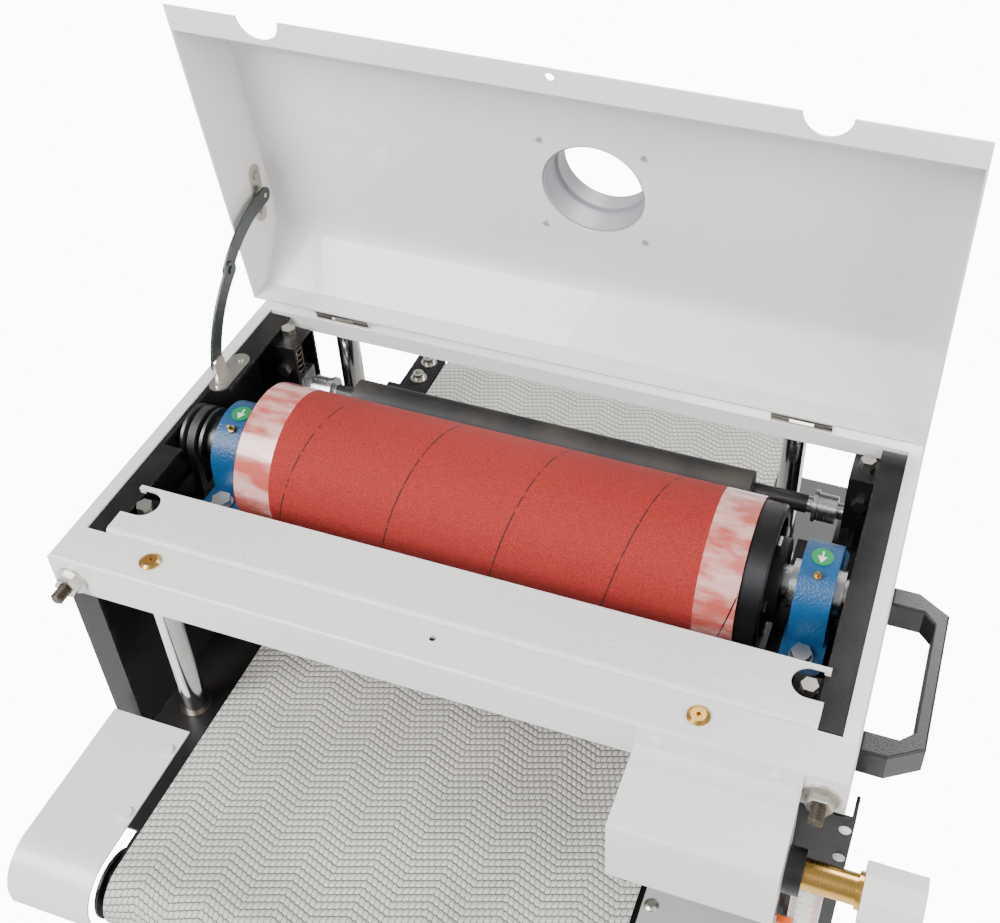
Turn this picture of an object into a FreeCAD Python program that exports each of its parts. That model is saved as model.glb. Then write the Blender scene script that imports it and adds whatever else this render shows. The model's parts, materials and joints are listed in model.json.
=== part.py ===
"""Closed-stand drum sander with a hinged lid, a conveyor table on four posts and two pressure rollers.

Frame: +Z up, X along the drum, -Y towards the infeed side. The origin is on the floor, under the drum's
axis and midway between the left wall and the end of the feed knob. Every piece is drawn about the middle
of the head and moved over when it becomes a node. Lengths are in millimetres.
"""
import FreeCAD, Part
import math
import operator
import os

import Sketcher

DOC = FreeCAD.newDocument("drum_sander")
SHEET = DOC.addObject("Spreadsheet::Sheet", "Sizes")

# Driving dimensions: one row of the sheet each.
SIZES = {
    # head and its welded top frame
    "head_width": 704, "head_front": 200, "head_rear": 210, "head_top": 1060, "apron_height": 41,
    "side_lip": 14, "front_rail": 39, "rear_rail": 40, "rail_lip": 18, "sheet": 2, "fold_radius": 3,
    # base cabinet, feet and columns
    "cabinet_top": 600, "cabinet_bottom": 60, "shelf_height": 196, "foot_inset_x": 50, "foot_inset_y": 45,
    "pad_radius": 28, "pad_height": 14, "foot_stud_radius": 8,
    "column_depth": 28, "column_sheet": 3, "column_inset": 9, "column_setback": 2.5,
    # black side rails inside the head
    "rail_sheet": 3, "rail_flange": 26, "rail_depth": 100, "rail_foot": 55, "rail_gap": 2.3,
    "shelf_reach": 84, "shelf_half": 88, "shelf_sheet": 4,
    # drum, its bearings and its belt drive
    "drum_drop": 26, "drum_radius": 68, "wrap_thickness": 1, "drum_left": -248, "wrap_right": 229,
    "ring_width": 20, "ring_radius": 66, "recess_depth": 22, "recess_inner": 24, "recess_outer": 56,
    "hub_radius": 38, "hub_length": 9, "clip_size": 11, "clip_count": 5,
    "shaft_radius": 15, "collar_radius": 22, "collar_length": 7,
    "left_bearing": -272, "right_bearing": 288, "bearing_height": 38, "bearing_width": 32,
    "bearing_base": 38, "bearing_length": 150, "bearing_foot": 15, "bearing_radius": 42, "bearing_bolts": 116,
    "pulley_left": -330, "pulley_width": 24, "drum_pulley": 30, "motor_pulley": 35, "belt_depth": 8,
    "motor_height": 300, "motor_radius": 82, "motor_length": 270, "motor_shaft": 12,
    # conveyor table
    "table_drop": 200, "work_centre": -17, "belt_width": 434, "belt_thickness": 2, "roller_radius": 29.7,
    "roller_front": 350, "roller_rear": 354, "bed_thickness": 3, "frame_thickness": 3, "frame_left": -290, "frame_right": 288,
    "frame_reach": 312, "frame_skirt": 38, "bracket_thickness": 4, "roller_shaft": 9,
    "post_spread": 490, "post_radius": 12, "post_front": 178, "post_rear": 190,
    "bush_wall": 3, "bush_length": 36, "bush_rise": 1,
    "cover_left": -332, "cover_front": 386, "cover_rear": 209, "cover_depth": 50,
    "cover_nose": 40, "left_cover_width": 82, "right_cover_width": 111, "cover_sheet": 2,
    # table lift
    "screw_offset": 248, "screw_radius": 9, "screw_top": 99, "screw_depth": 5, "nut_radius": 16,
    "nut_length": 22, "sprocket_radius": 30, "sprocket_drop": 40, "sprocket_thickness": 6,
    "chain_thickness": 5, "chain_height": 9, "mitre_drop": 95, "mitre_outer": 28, "mitre_inner": 16,
    "wheel_radius": 72, "wheel_rim": 9, "wheel_stand_off": 52, "wheel_shaft": 8, "grip_radius": 10,
    "grip_length": 55,
    # pressure rollers
    "press_front": 122, "press_rear": 146, "press_drop": 75, "press_radius": 20, "press_left": -232,
    "press_length": 430, "press_shaft": 8, "bush_radius": 14, "bush_start": 260, "bush_width": 23,
    "block_centre": 304, "block_width": 28, "block_half": 14, "block_top": 55, "cheek": 3,
    "bracket_half": 17.7, "bracket_top": 11, "face_drop": 78, "face_bolt": 40, "spring_radius": 10, "spring_wire": 2,
    "bolt_radius": 4, "bolt_hex": 7.5, "bolt_head": 6, "nut_height": 6,
    # front strip
    "strip_half": 318, "strip_depth": 58, "strip_fold": 15, "notch_radius": 15, "notch_depth": 29, "strip_rise": 4,
    "strip_round": 5,
    # lid
    "lid_angle": 83, "hinge_y": 175, "hinge_rise": 10, "lid_gap": 0.5, "lid_height": 74, "lid_back": 7,
    "lid_back_height": 24, "lid_slope": 60, "lid_curve": 60, "lip_depth": 22, "lip_notch": 20,
    "port_x": 8, "port_y": -177, "port_radius": 50.8, "port_wall": 2.5, "port_length": 48,
    "port_flange": 62, "port_screws": 50,
    "hinge_left": -254, "hinge_right": 234, "leaf_half": 30, "knuckle_half": 12, "knuckle_radius": 5,
    "pin_radius": 2.5, "leaf_thickness": 1.7,
    # lid stay
    "stay_sheet": 2.5, "stay_half": 8.5, "foot_y": 64, "foot_rise": 10, "elbow_y": 118, "elbow_rise": 88,
    "head_y": 202, "head_rise": 123, "lower_bow": 9, "upper_bow": 9,
    # side handle
    "handle_front": -160, "handle_rear": 12, "handle_reach": 49, "handle_chamfer": 17, "handle_leg": 20,
    "handle_grip": 11, "handle_top": 12, "handle_height": 28, "handle_wall": 4,
    # control box and feed knob
    "box_left": 184, "box_right": 317, "box_depth": 74, "box_top": 24, "box_bottom": 98, "box_flange": 20,
    "knob_y": -238, "knob_drop": 74, "boss_length": 14, "boss_radius": 17, "sleeve_length": 45,
    "sleeve_radius": 12, "knob_length": 46, "knob_radius": 24,
    # scale and its bracket
    "scale_left": 320, "scale_right": 361, "scale_top": 44, "scale_bottom": 330, "scale_sheet": 3,
    # switch box and buttons
    "switch_left": -230, "switch_width": 104, "switch_bottom": 470, "switch_height": 84, "switch_depth": 42,
    "button_radius": 11, "button_stand": 9, "button_travel": 4, "stop_radius": 17,
    # corner studs
    "stud_inset": 20, "stud_drop": 25, "stud_radius": 6, "stud_out": 25, "washer_radius": 14.5,
    "stud_hex": 11, "stud_nut": 9, "washer_thickness": 2.5,
    # power inlet
    "inlet_x": -250, "inlet_height": 160, "inlet_radius": 13, "inlet_length": 26,
    # access door
    "door_left": -290, "door_width": 420, "door_bottom": 110, "door_height": 340, "door_gap": 3,
    "door_hinge": 6, "door_overlap": 14,
    # running and seating clearances
    "running": 0.05, "loose": 0.3,
}


class Size:
    """A number together with the sheet expression that keeps it up to date."""

    def __init__(self, value, text):
        self.value = value
        self.text = text

    def __add__(self, other):
        return combined(self, "+", other)

    def __radd__(self, other):
        return combined(other, "+", self)

    def __sub__(self, other):
        return combined(self, "-", other)

    def __rsub__(self, other):
        return combined(other, "-", self)

    def __mul__(self, other):
        return combined(self, "*", other)

    def __rmul__(self, other):
        return combined(other, "*", self)

    def __truediv__(self, other):
        return combined(self, "/", other)

    def __neg__(self):
        return combined(0, "-", self)


OPERATIONS = {"+": operator.add, "-": operator.sub, "*": operator.mul, "/": operator.truediv}


def as_size(value):
    return value if isinstance(value, Size) else Size(value, f"({value})")


def combined(first, sign, second):
    first, second = as_size(first), as_size(second)
    return Size(OPERATIONS[sign](first.value, second.value), f"({first.text} {sign} {second.text})")


def number(size):
    return as_size(size).value


def filled_sheet():
    """Write every size into the sheet and return the sizes by name."""
    named = {}
    for row, (alias, value) in enumerate(SIZES.items(), start=1):
        SHEET.set(f"A{row}", alias)
        SHEET.set(f"B{row}", str(value))
        SHEET.setAlias(f"B{row}", alias)
        named[alias] = Size(value, f"Sizes.{alias}")
    DOC.recompute()
    return type("NamedSizes", (), named)


s = filled_sheet()
NODES = []


def node(label, piece):
    """Make a finished piece one of the exported nodes, shifted so that the whole is centred on the origin."""
    own_place = dict(piece.ExpressionEngine).get("Placement.Base.x", "0")
    own_place = dict(piece.ExpressionEngine).get(".Placement.Base.x", own_place)
    piece.setExpression("Placement.Base.x", f"{own_place} - {OFF_CENTRE.text}")
    piece.Label = label
    NODES.append(piece)
    return piece


def bind(piece, property_name, size):
    piece.setExpression(property_name, as_size(size).text)


# ---------------------------------------------------------------- solids
def box(x, y, z):
    """A block from three (low, high) pairs."""
    block = DOC.addObject("Part::Box", "Block")
    for side, axis, (low, high) in zip(("Length", "Width", "Height"), "xyz", (x, y, z)):
        bind(block, side, high - low)
        bind(block, f"Placement.Base.{axis}", low)
    return block


TURNS = {
    "X": FreeCAD.Rotation(FreeCAD.Vector(0, 1, 0), 90),
    "Y": FreeCAD.Rotation(FreeCAD.Vector(1, 0, 0), -90),
    "Z": FreeCAD.Rotation(),
}


def along(piece, axis, centre, low):
    """Stand a piece made along Z on the given axis, through centre, starting at low."""
    piece.Placement = FreeCAD.Placement(FreeCAD.Vector(), TURNS[axis])
    places = list(centre)
    places.insert("XYZ".index(axis), low)
    for name, place in zip("xyz", places):
        bind(piece, f"Placement.Base.{name}", place)
    return piece


def rod(axis, centre, span, radius):
    """A cylinder; centre holds the two coordinates across the axis, in X, Y, Z order."""
    cylinder = DOC.addObject("Part::Cylinder", "Rod")
    bind(cylinder, "Radius", radius)
    bind(cylinder, "Height", span[1] - span[0])
    return along(cylinder, axis, centre, span[0])


def hexagon(axis, centre, span, radius):
    prism = DOC.addObject("Part::Prism", "Hexagon")
    prism.Polygon = 6
    bind(prism, "Circumradius", radius)
    bind(prism, "Height", span[1] - span[0])
    return along(prism, axis, centre, span[0])


def fuse(*pieces):
    joined = DOC.addObject("Part::MultiFuse", "Fusion")
    joined.Shapes = list(pieces)
    joined.Refine = True
    return joined


def cut(piece, *tools):
    """Piece less its tools."""
    less = DOC.addObject("Part::Cut", "Cut")
    less.Base = piece
    less.Tool = tools[0] if len(tools) == 1 else fuse(*tools)
    return less


def group(*pieces):
    """Separate solids that share a node."""
    together = DOC.addObject("Part::Compound", "Group")
    together.Links = list(pieces)
    return together


def tube(axis, centre, span, outer, inner):
    bore = rod(axis, centre, (span[0] - 1, span[1] + 1), inner)
    return cut(rod(axis, centre, span, outer), bore)


# ---------------------------------------------------------------- sketched bodies
def new_body():
    body = DOC.addObject("PartDesign::Body", "Body")
    body.AllowCompound = True
    return body


def outline(body, plane, corners, offset=(0, 0, 0)):
    """A closed sketch of straight sides whose every corner is driven by the sheet."""
    sketch = body.newObject("Sketcher::SketchObject", "Outline")
    sketch.AttachmentSupport = [(origin_part(body, f"{plane}_Plane"), "")]
    sketch.MapMode = "FlatFace"
    for axis, distance in zip("xyz", offset):
        bind(sketch, f"AttachmentOffset.Base.{axis}", distance)
    points = [FreeCAD.Vector(as_size(u).value, as_size(v).value, 0) for u, v in corners]
    for start, end in zip(points, points[1:] + points[:1]):
        sketch.addGeometry(Part.LineSegment(start, end), False)
    for side in range(len(points)):
        sketch.addConstraint(Sketcher.Constraint("Coincident", side, 2, (side + 1) % len(points), 1))
    for side, corner in enumerate(corners):
        pin_corner(sketch, side, corner)
    return sketch


def pin_corner(sketch, side, corner):
    """Tie the start of a side to its coordinates, or to an axis where a coordinate is nothing."""
    for kind, own_axis, size in (("DistanceX", -2, corner[0]), ("DistanceY", -1, corner[1])):
        size = as_size(size)
        if abs(size.value) < 1e-9:
            sketch.addConstraint(Sketcher.Constraint("PointOnObject", side, 1, own_axis))
            continue
        index = sketch.addConstraint(Sketcher.Constraint(kind, -1, 1, side, 1, size.value))
        sketch.setExpression(f"Constraints[{index}]", size.text)


def origin_part(body, role):
    return next(part for part in body.Origin.OriginFeatures if part.Role == role)


def padded(plane, corners, span, body=None):
    """A body padded from a sketched outline; span is (low, high) along the plane's axis."""
    body = body or new_body()
    low, high = span
    lift = -high if plane == "XZ" else low
    sketch = outline(body, plane, corners, (0, 0, lift))
    pad = body.newObject("PartDesign::Pad", "Pad")
    pad.Profile = sketch
    bind(pad, "Length", high - low)
    DOC.recompute()
    return body


def turned(axis, centre, corners):
    """A body turned about an axis; corners are (along, radius) pairs."""
    body = new_body()
    if axis == "X":
        sketch = outline(body, "XZ", corners, (0, centre[1], -centre[0]))
    elif axis == "Y":
        sketch = outline(body, "YZ", corners, (0, centre[1], centre[0]))
    else:
        swapped = [(radius, height) for height, radius in corners]
        sketch = outline(body, "XZ", swapped, (centre[0], 0, -centre[1]))
    turn = body.newObject("PartDesign::Revolution", "Turn")
    turn.Profile = sketch
    turn.ReferenceAxis = (sketch, ["V_Axis" if axis == "Z" else "H_Axis"])
    turn.Angle = 360
    DOC.recompute()
    return body


def rounded(body, radius, wanted):
    """Fillet the edges of a body's tip that the test picks."""
    tip = body.Tip
    names = [f"Edge{i}" for i, edge in enumerate(tip.Shape.Edges, start=1) if wanted(edge)]
    fillet = body.newObject("PartDesign::Fillet", "Round")
    fillet.Base = (tip, names)
    bind(fillet, "Radius", radius)
    DOC.recompute()
    return body


def hollowed(body, thickness, wanted):
    """Leave a wall inside a body's skin, open at the faces that the test picks."""
    tip = body.Tip
    names = [f"Face{i}" for i, face in enumerate(tip.Shape.Faces, start=1) if wanted(face)]
    shell = body.newObject("PartDesign::Thickness", "Wall")
    shell.Base = (tip, names)
    shell.Reversed = True
    shell.Join = "Intersection"
    bind(shell, "Value", thickness)
    DOC.recompute()
    return body


def faces_towards(*directions):
    """A test for flat faces whose outward normal is one of the directions."""
    def wanted(face):
        if face.Surface.TypeId != "Part::GeomPlane":
            return False
        normal = face.normalAt(0, 0)
        return any((normal - FreeCAD.Vector(*direction)).Length < 0.01 for direction in directions)
    return wanted


def edges_at(plane_axes, *corners):
    """A test for straight edges across the plane, through any of the given corners."""
    spots = [tuple(as_size(value).value for value in corner) for corner in corners]

    def wanted(edge):
        ends = [vertex.Point for vertex in edge.Vertexes]
        if len(ends) != 2:
            return False
        for spot in spots:
            if all(abs(end[axis] - value) < 0.01 for end in ends for axis, value in zip(plane_axes, spot)):
                return True
        return False
    return wanted


X, Y, Z = 0, 1, 2


# ---------------------------------------------------------------- shared positions
HALF = s.head_width / 2
FRONT = -s.head_front
REAR = s.head_rear
TOP = s.head_top
DRUM_Z = TOP - s.drum_drop
RAIL_TOP = TOP - s.rail_gap
RAIL_OUT = HALF - s.column_inset - s.column_sheet
POST_X = (s.work_centre - s.post_spread / 2, s.work_centre + s.post_spread / 2)
POST_Y = (-s.post_front, s.post_rear)
PRESS_Z = TOP - s.press_drop
TABLE = TOP - s.table_drop
BELT_IN = s.roller_radius + s.loose
BELT_OUT = BELT_IN + s.belt_thickness
ROLLER_Z = TABLE - BELT_OUT
FRAME_TOP = TABLE - s.belt_thickness - s.loose - s.bed_thickness
BELT_X = (s.work_centre - s.belt_width / 2, s.work_centre + s.belt_width / 2)
SCREW_X = (s.work_centre - s.screw_offset, s.work_centre + s.screw_offset)
WHEEL_Z = s.cabinet_top - s.mitre_drop
STUD_Z = TOP - s.stud_drop
PULLEY_X = (s.pulley_left, s.pulley_left + s.pulley_width)
COVER_TOP = FRAME_TOP + s.cover_sheet
SLEEVE_START = s.box_right + s.boss_length + s.loose
KNOB_START = SLEEVE_START + s.sleeve_length
OFF_CENTRE = (KNOB_START + s.knob_length - HALF) / 2
DOOR_AXIS = (s.door_left - s.door_hinge, FRONT - s.door_gap - s.sheet - 2)


def both_sides(low, high):
    """The span and its mirror image across the middle of the head."""
    return ((-high, -low), (low, high))


# ---------------------------------------------------------------- base
def base_cabinet():
    plan = [(-HALF, FRONT), (HALF, FRONT), (HALF, REAR), (-HALF, REAR)]
    body = padded("XY", plan, (s.cabinet_bottom, s.cabinet_top))
    rounded(body, s.fold_radius, edges_at((X, Y), *plan))
    inside = box((-HALF + s.sheet, HALF - s.sheet), (FRONT + s.sheet, REAR - s.sheet),
                 (s.cabinet_bottom + s.sheet, s.cabinet_top - s.sheet))
    shell = cut(body, inside)
    shelf = box((-HALF + s.sheet / 2, HALF - s.sheet / 2), (FRONT + s.sheet / 2, REAR - s.sheet / 2),
                (s.shelf_height, s.shelf_height + s.rail_sheet))
    through = (s.cabinet_top - s.sheet - 1, s.cabinet_top + 1)
    slot = box((PULLEY_X[0] - 4, PULLEY_X[1] + 4), (-s.motor_pulley - 10, s.motor_pulley + 10), through)
    screw_holes = [rod("Z", (x, -s.screw_depth), through, s.screw_radius + s.running) for x in SCREW_X]
    shaft_hole = rod("Y", (SCREW_X[1], WHEEL_Z), (FRONT - 1, FRONT + s.sheet + 1), s.wheel_shaft + s.running)
    frame = s.door_overlap
    doorway = box((s.door_left + frame, s.door_left + s.door_width - frame), (FRONT - 1, FRONT + s.sheet + 1),
                  (s.door_bottom + frame, s.door_bottom + s.door_height - frame))
    vents = [box((x, x + 6), (REAR - s.sheet - 1, REAR + 1), (330, 430)) for x in range(-60, 160, 20)]
    knuckles = [door_knuckle(z, s.knuckle_radius) for z in door_knuckle_spans(True)]
    blocks = [box((DOOR_AXIS[0] - 4, DOOR_AXIS[0] + 4), (DOOR_AXIS[1], FRONT + 1), z)
              for z in door_knuckle_spans(True)]
    pins = [rod("Z", DOOR_AXIS, (low[0], high[1]), s.pin_radius)
            for low, high in zip(door_knuckle_spans(True)[::2], door_knuckle_spans(True)[1::2])]
    body = cut(fuse(shell, shelf), slot, *screw_holes, shaft_hole, doorway, *vents)
    return fuse(body, *knuckles, *blocks, *pins)


def door_knuckle_spans(fixed):
    """Heights of the door hinges' knuckles: the cabinet's outer pairs, or the door's middle ones."""
    spans = []
    for centre in (s.door_bottom + 50, s.door_bottom + s.door_height - 50):
        if fixed:
            spans += [(centre - 30, centre - 12), (centre + 12, centre + 30)]
        else:
            spans += [(centre - 12 + s.loose, centre + 12 - s.loose)]
    return spans


def door_knuckle(span, radius):
    return rod("Z", DOOR_AXIS, span, radius)


def cabinet_door():
    """Sheet door on two hinges, with a bow pull near its free edge."""
    y = (FRONT - s.door_gap - s.sheet, FRONT - s.door_gap)
    z = (s.door_bottom, s.door_bottom + s.door_height)
    free = s.door_left + s.door_width
    panel = box((s.door_left, free), y, z)
    leaves = [box((DOOR_AXIS[0], s.door_left + 24), y, span) for span in door_knuckle_spans(False)]
    knuckles = [door_knuckle(span, s.knuckle_radius) for span in door_knuckle_spans(False)]
    bores = [rod("Z", DOOR_AXIS, (span[0] - 1, span[1] + 1), s.pin_radius + s.running)
             for span in door_knuckle_spans(False)]
    grip_x = (free - 34, free - 22)
    middle = s.door_bottom + s.door_height / 2
    grip = box(grip_x, (y[0] - 30, y[0] - 22), (middle - 55, middle + 55))
    legs = [box(grip_x, (y[0] - 24, y[1]), (middle + place, middle + place + 10)) for place in (-55, 45)]
    return cut(fuse(panel, *leaves, *knuckles, grip, *legs), *bores)


def levelling_feet():
    feet = []
    for x in (-HALF + s.foot_inset_x, HALF - s.foot_inset_x):
        for y in (FRONT + s.foot_inset_y, REAR - s.foot_inset_y):
            feet.append(turned("Z", (x, y), [
                (0, 0), (0, s.pad_radius), (s.pad_height / 2, s.pad_radius),
                (s.pad_height, s.pad_radius * 0.6), (s.pad_height, 0)]))
            feet.append(rod("Z", (x, y), (s.pad_height, s.cabinet_bottom), s.foot_stud_radius))
            feet[-1] = fuse(feet[-1], hexagon("Z", (x, y), (s.cabinet_bottom - 9, s.cabinet_bottom),
                                              s.foot_stud_radius * 1.7))
    return group(*feet)


def side_columns():
    """Two upright channels that carry the head, each open towards the table."""
    columns = []
    outer, inner = HALF - s.column_inset, HALF - s.column_inset - s.column_depth
    front, rear = FRONT + s.column_setback, REAR - s.column_setback
    for sign in (-1, 1):
        corners = [(outer, front), (outer, rear), (inner, rear), (inner, rear - s.column_sheet),
                   (outer - s.column_sheet, rear - s.column_sheet),
                   (outer - s.column_sheet, front + s.column_sheet), (inner, front + s.column_sheet),
                   (inner, front)]
        plan = [(x * sign, y) for x, y in corners]
        columns.append(padded("XY", plan, (s.cabinet_top, TOP - s.sheet - 1)))
    stud_holes = [rod("Y", (x, STUD_Z), (FRONT - 1, REAR + 1), s.stud_radius + s.loose)
                  for x in (-HALF + s.stud_inset, HALF - s.stud_inset)]
    return group(*[cut(column, hole) for column, hole in zip(columns, stud_holes)])


# ---------------------------------------------------------------- head
def head_frame():
    plan = [(-HALF, FRONT), (HALF, FRONT), (HALF, REAR), (-HALF, REAR)]
    body = padded("XY", plan, (TOP - s.apron_height, TOP))
    rounded(body, s.fold_radius, edges_at((Z,), (TOP,)))
    under = TOP - s.apron_height - 1
    cavity = box((-HALF + s.sheet, HALF - s.sheet), (FRONT + s.sheet, REAR - s.sheet), (under, TOP - s.sheet))
    inner = (-HALF + s.side_lip, HALF - s.side_lip)
    edges = (FRONT + s.front_rail, REAR - s.rear_rail)
    opening = box(inner, edges, (under, TOP + 1))
    lip = (TOP - s.rail_lip, TOP - s.sheet / 2)
    lips = [box(inner, (edges[0] - s.sheet, edges[0]), lip), box(inner, (edges[1], edges[1] + s.sheet), lip)]
    plug_holes = [rod("Z", (x, POST_Y[0]), (TOP - s.sheet - 1, TOP + 1), 8) for x in POST_X]
    lock_hole = rod("Z", (2, FRONT + 25), (TOP - s.sheet - 1, TOP + 1), 3)
    stud_holes = [rod("Y", (x, STUD_Z), (FRONT - 1, REAR + 1), s.stud_radius + s.loose)
                  for x in (-HALF + s.stud_inset, HALF - s.stud_inset)]
    box_holes = [rod("Y", (x, TOP - 14), (FRONT - 1, FRONT + s.sheet + 1), 2.4)
                 for x in (s.box_left + 18, s.box_right - 21)]
    return cut(fuse(cut(body, cavity, opening), *lips), *plug_holes, lock_hole, *stud_holes, *box_holes)


def side_rail(sign):
    """A black channel along the head's side, with the shelf for the drum's bearing."""
    out, inward = RAIL_OUT, RAIL_OUT - s.rail_sheet
    bottom = TOP - s.rail_depth
    section = [(out, RAIL_TOP), (out, bottom), (RAIL_OUT - s.rail_foot, bottom),
               (RAIL_OUT - s.rail_foot, bottom + s.rail_sheet), (inward, bottom + s.rail_sheet),
               (inward, RAIL_TOP - s.rail_sheet), (out - s.rail_flange, RAIL_TOP - s.rail_sheet),
               (out - s.rail_flange, RAIL_TOP)]
    along_y = (FRONT + s.front_rail + 3, REAR - s.rear_rail - 3)
    channel = padded("XZ", [(x * sign, z) for x, z in section], along_y)
    shelf_top = DRUM_Z - s.bearing_height
    x_low, x_high = RAIL_OUT - s.shelf_reach, RAIL_OUT - s.rail_sheet / 2
    across = (x_low, x_high) if sign > 0 else (-x_high, -x_low)
    shelf = box(across, (-s.shelf_half, s.shelf_half), (shelf_top - s.shelf_sheet, shelf_top))
    gussets = [box(across, (y, y + s.rail_sheet), (bottom + s.rail_sheet / 2, shelf_top - s.shelf_sheet / 2))
               for y in (-s.shelf_half, s.shelf_half - s.rail_sheet)]
    rail = fuse(channel, shelf, *gussets)
    bearing = s.right_bearing if sign > 0 else s.left_bearing
    holes = [rod("Z", (bearing, y), (shelf_top - s.shelf_sheet - 1, shelf_top + 1), 5)
             for y in (-s.bearing_bolts / 2, s.bearing_bolts / 2)]
    if sign > 0:
        return cut(rail, *holes)
    reach = s.motor_pulley + 10
    slots = [box((PULLEY_X[0] - 3, PULLEY_X[1] + 3), (-reach, reach), (bottom - 1, shelf_top + 1)),
             box((PULLEY_X[0] - 3, PULLEY_X[1] + 3), (-reach, reach),
                 (RAIL_TOP - s.rail_sheet - 1, RAIL_TOP + 1))]
    return cut(rail, *holes, *slots)


def front_strip():
    """Folded strip in front of the drum, on four feet, with a notch round each front adjuster."""
    front = FRONT + s.front_rail + 0.5
    base = RAIL_TOP + s.strip_rise
    top = base + s.sheet
    section = [(front, top), (front, top - s.strip_fold), (front + s.sheet, top - s.strip_fold),
               (front + s.sheet, base), (front + s.strip_depth, base), (front + s.strip_depth, top)]
    body = padded("YZ", section, (-s.strip_half, s.strip_half))
    rounded(body, s.strip_round, edges_at((Y, Z), (front, top)))
    rounded(body, s.strip_round - s.sheet, edges_at((Y, Z), (front + s.sheet, base)))
    notch_front = -s.press_front - s.notch_radius
    feet = [box((x, x + 5), y, (RAIL_TOP, base + 0.5)) for x in (-s.strip_half, s.strip_half - 5)
            for y in ((notch_front - 14, notch_front), (front + s.strip_depth - 4, front + s.strip_depth))]
    height = (base - 1, top + 1)
    notches = []
    for sign in (-1, 1):
        end, centre = s.strip_half * sign, (s.strip_half - s.notch_depth + s.notch_radius) * sign
        x = (end - 1, centre) if sign < 0 else (centre, end + 1)
        notches.append(box(x, (-s.press_front - s.notch_radius, -s.press_front + s.notch_radius), height))
        notches.append(rod("Z", (centre, -s.press_front), height, s.notch_radius))
    return fuse(cut(body, *notches), *feet)


def guide_posts():
    posts = [rod("Z", (x, y), (s.cabinet_top, TOP - s.sheet - s.loose), s.post_radius)
             for x in POST_X for y in POST_Y]
    return group(*posts)


def post_plugs():
    """Brass plugs with a blind hole, over the front posts."""
    low = TOP - s.sheet
    plugs = [turned("Z", (x, POST_Y[0]), [
        (low, 0), (low, 7.5), (TOP + 0.4, 7.5), (TOP + 0.4, 9.5), (TOP + 1.4, 9.5), (TOP + 3, 6.5),
        (TOP + 3, 2), (low + 1, 2), (low + 1, 0)]) for x in POST_X]
    return group(*plugs)


def corner_studs():
    """Threaded rods that tie the head to its columns, front and rear."""
    inside = s.column_setback + s.column_sheet + 8
    studs = []
    for x in (-HALF + s.stud_inset, HALF - s.stud_inset):
        studs.append(rod("Y", (x, STUD_Z), (FRONT - s.stud_out, FRONT + inside), s.stud_radius))
        studs.append(rod("Y", (x, STUD_Z), (REAR - inside, REAR + s.stud_out), s.stud_radius))
    return group(*studs)


def nut_on(axis, centre, start, direction, height, radius, bore):
    """A hexagon nut with its bore; it grows from start in the given direction."""
    span = (start, start + height) if direction > 0 else (start - height, start)
    hole = rod(axis, centre, (span[0] - 1, span[1] + 1), bore)
    return cut(hexagon(axis, centre, span, radius), hole)


def washer_on(axis, centre, start, direction, height, radius, bore):
    span = (start, start + height) if direction > 0 else (start - height, start)
    return tube(axis, centre, span, radius, bore)


def zinc_fasteners():
    """Stud nuts and washers, bearing bolts, and the adjuster bolts with their lock nuts."""
    pieces = []
    bore = s.stud_radius + s.running
    for x in (-HALF + s.stud_inset, HALF - s.stud_inset):
        for face, direction in ((FRONT, -1), (REAR, 1)):
            pieces.append(washer_on("Y", (x, STUD_Z), face, direction, s.washer_thickness,
                                    s.washer_radius, bore))
            start = face + s.washer_thickness * direction
            pieces.append(nut_on("Y", (x, STUD_Z), start, direction, s.stud_nut, s.stud_hex, bore))
    foot_top = DRUM_Z - s.bearing_height + s.bearing_foot
    under = DRUM_Z - s.bearing_height - s.shelf_sheet
    for x in (s.left_bearing, s.right_bearing):
        for y in (-s.bearing_bolts / 2, s.bearing_bolts / 2):
            shank = rod("Z", (x, y), (under - 9, foot_top), 5)
            pieces.append(fuse(shank, hexagon("Z", (x, y), (foot_top, foot_top + 7), 9.5),
                               rod("Z", (x, y), (foot_top, foot_top + 1.5), 10.5)))
            pieces.append(nut_on("Z", (x, y), under, -1, 8, 9.5, 5 + s.running))
    plate = TOP - s.bracket_top
    for x in (-s.block_centre, s.block_centre):
        for y in (-s.press_front, s.press_rear):
            head = plate + s.nut_height + 1
            shank = rod("Z", (x, y), (plate - 30, head), s.bolt_radius)
            pieces.append(fuse(shank, hexagon("Z", (x, y), (head, head + s.bolt_head), s.bolt_hex)))
            pieces.append(nut_on("Z", (x, y), plate, 1, s.nut_height, s.bolt_hex,
                                 s.bolt_radius + s.running))
            low, high = face_span(y)
            spot = (x, TOP - s.face_bolt)
            outside = (high, high + s.bolt_head) if number(y) < 0 else (low - s.bolt_head, low)
            pieces.append(fuse(rod("Y", spot, (low, high), s.bolt_radius),
                               hexagon("Y", spot, outside, s.bolt_hex)))
    return group(*pieces)


def face_span(y):
    """The bracket's face plate, on the side towards the drum."""
    if number(y) < 0:
        return (y + s.bracket_half - s.cheek, y + s.bracket_half)
    return (y - s.bracket_half, y - s.bracket_half + s.cheek)


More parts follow.
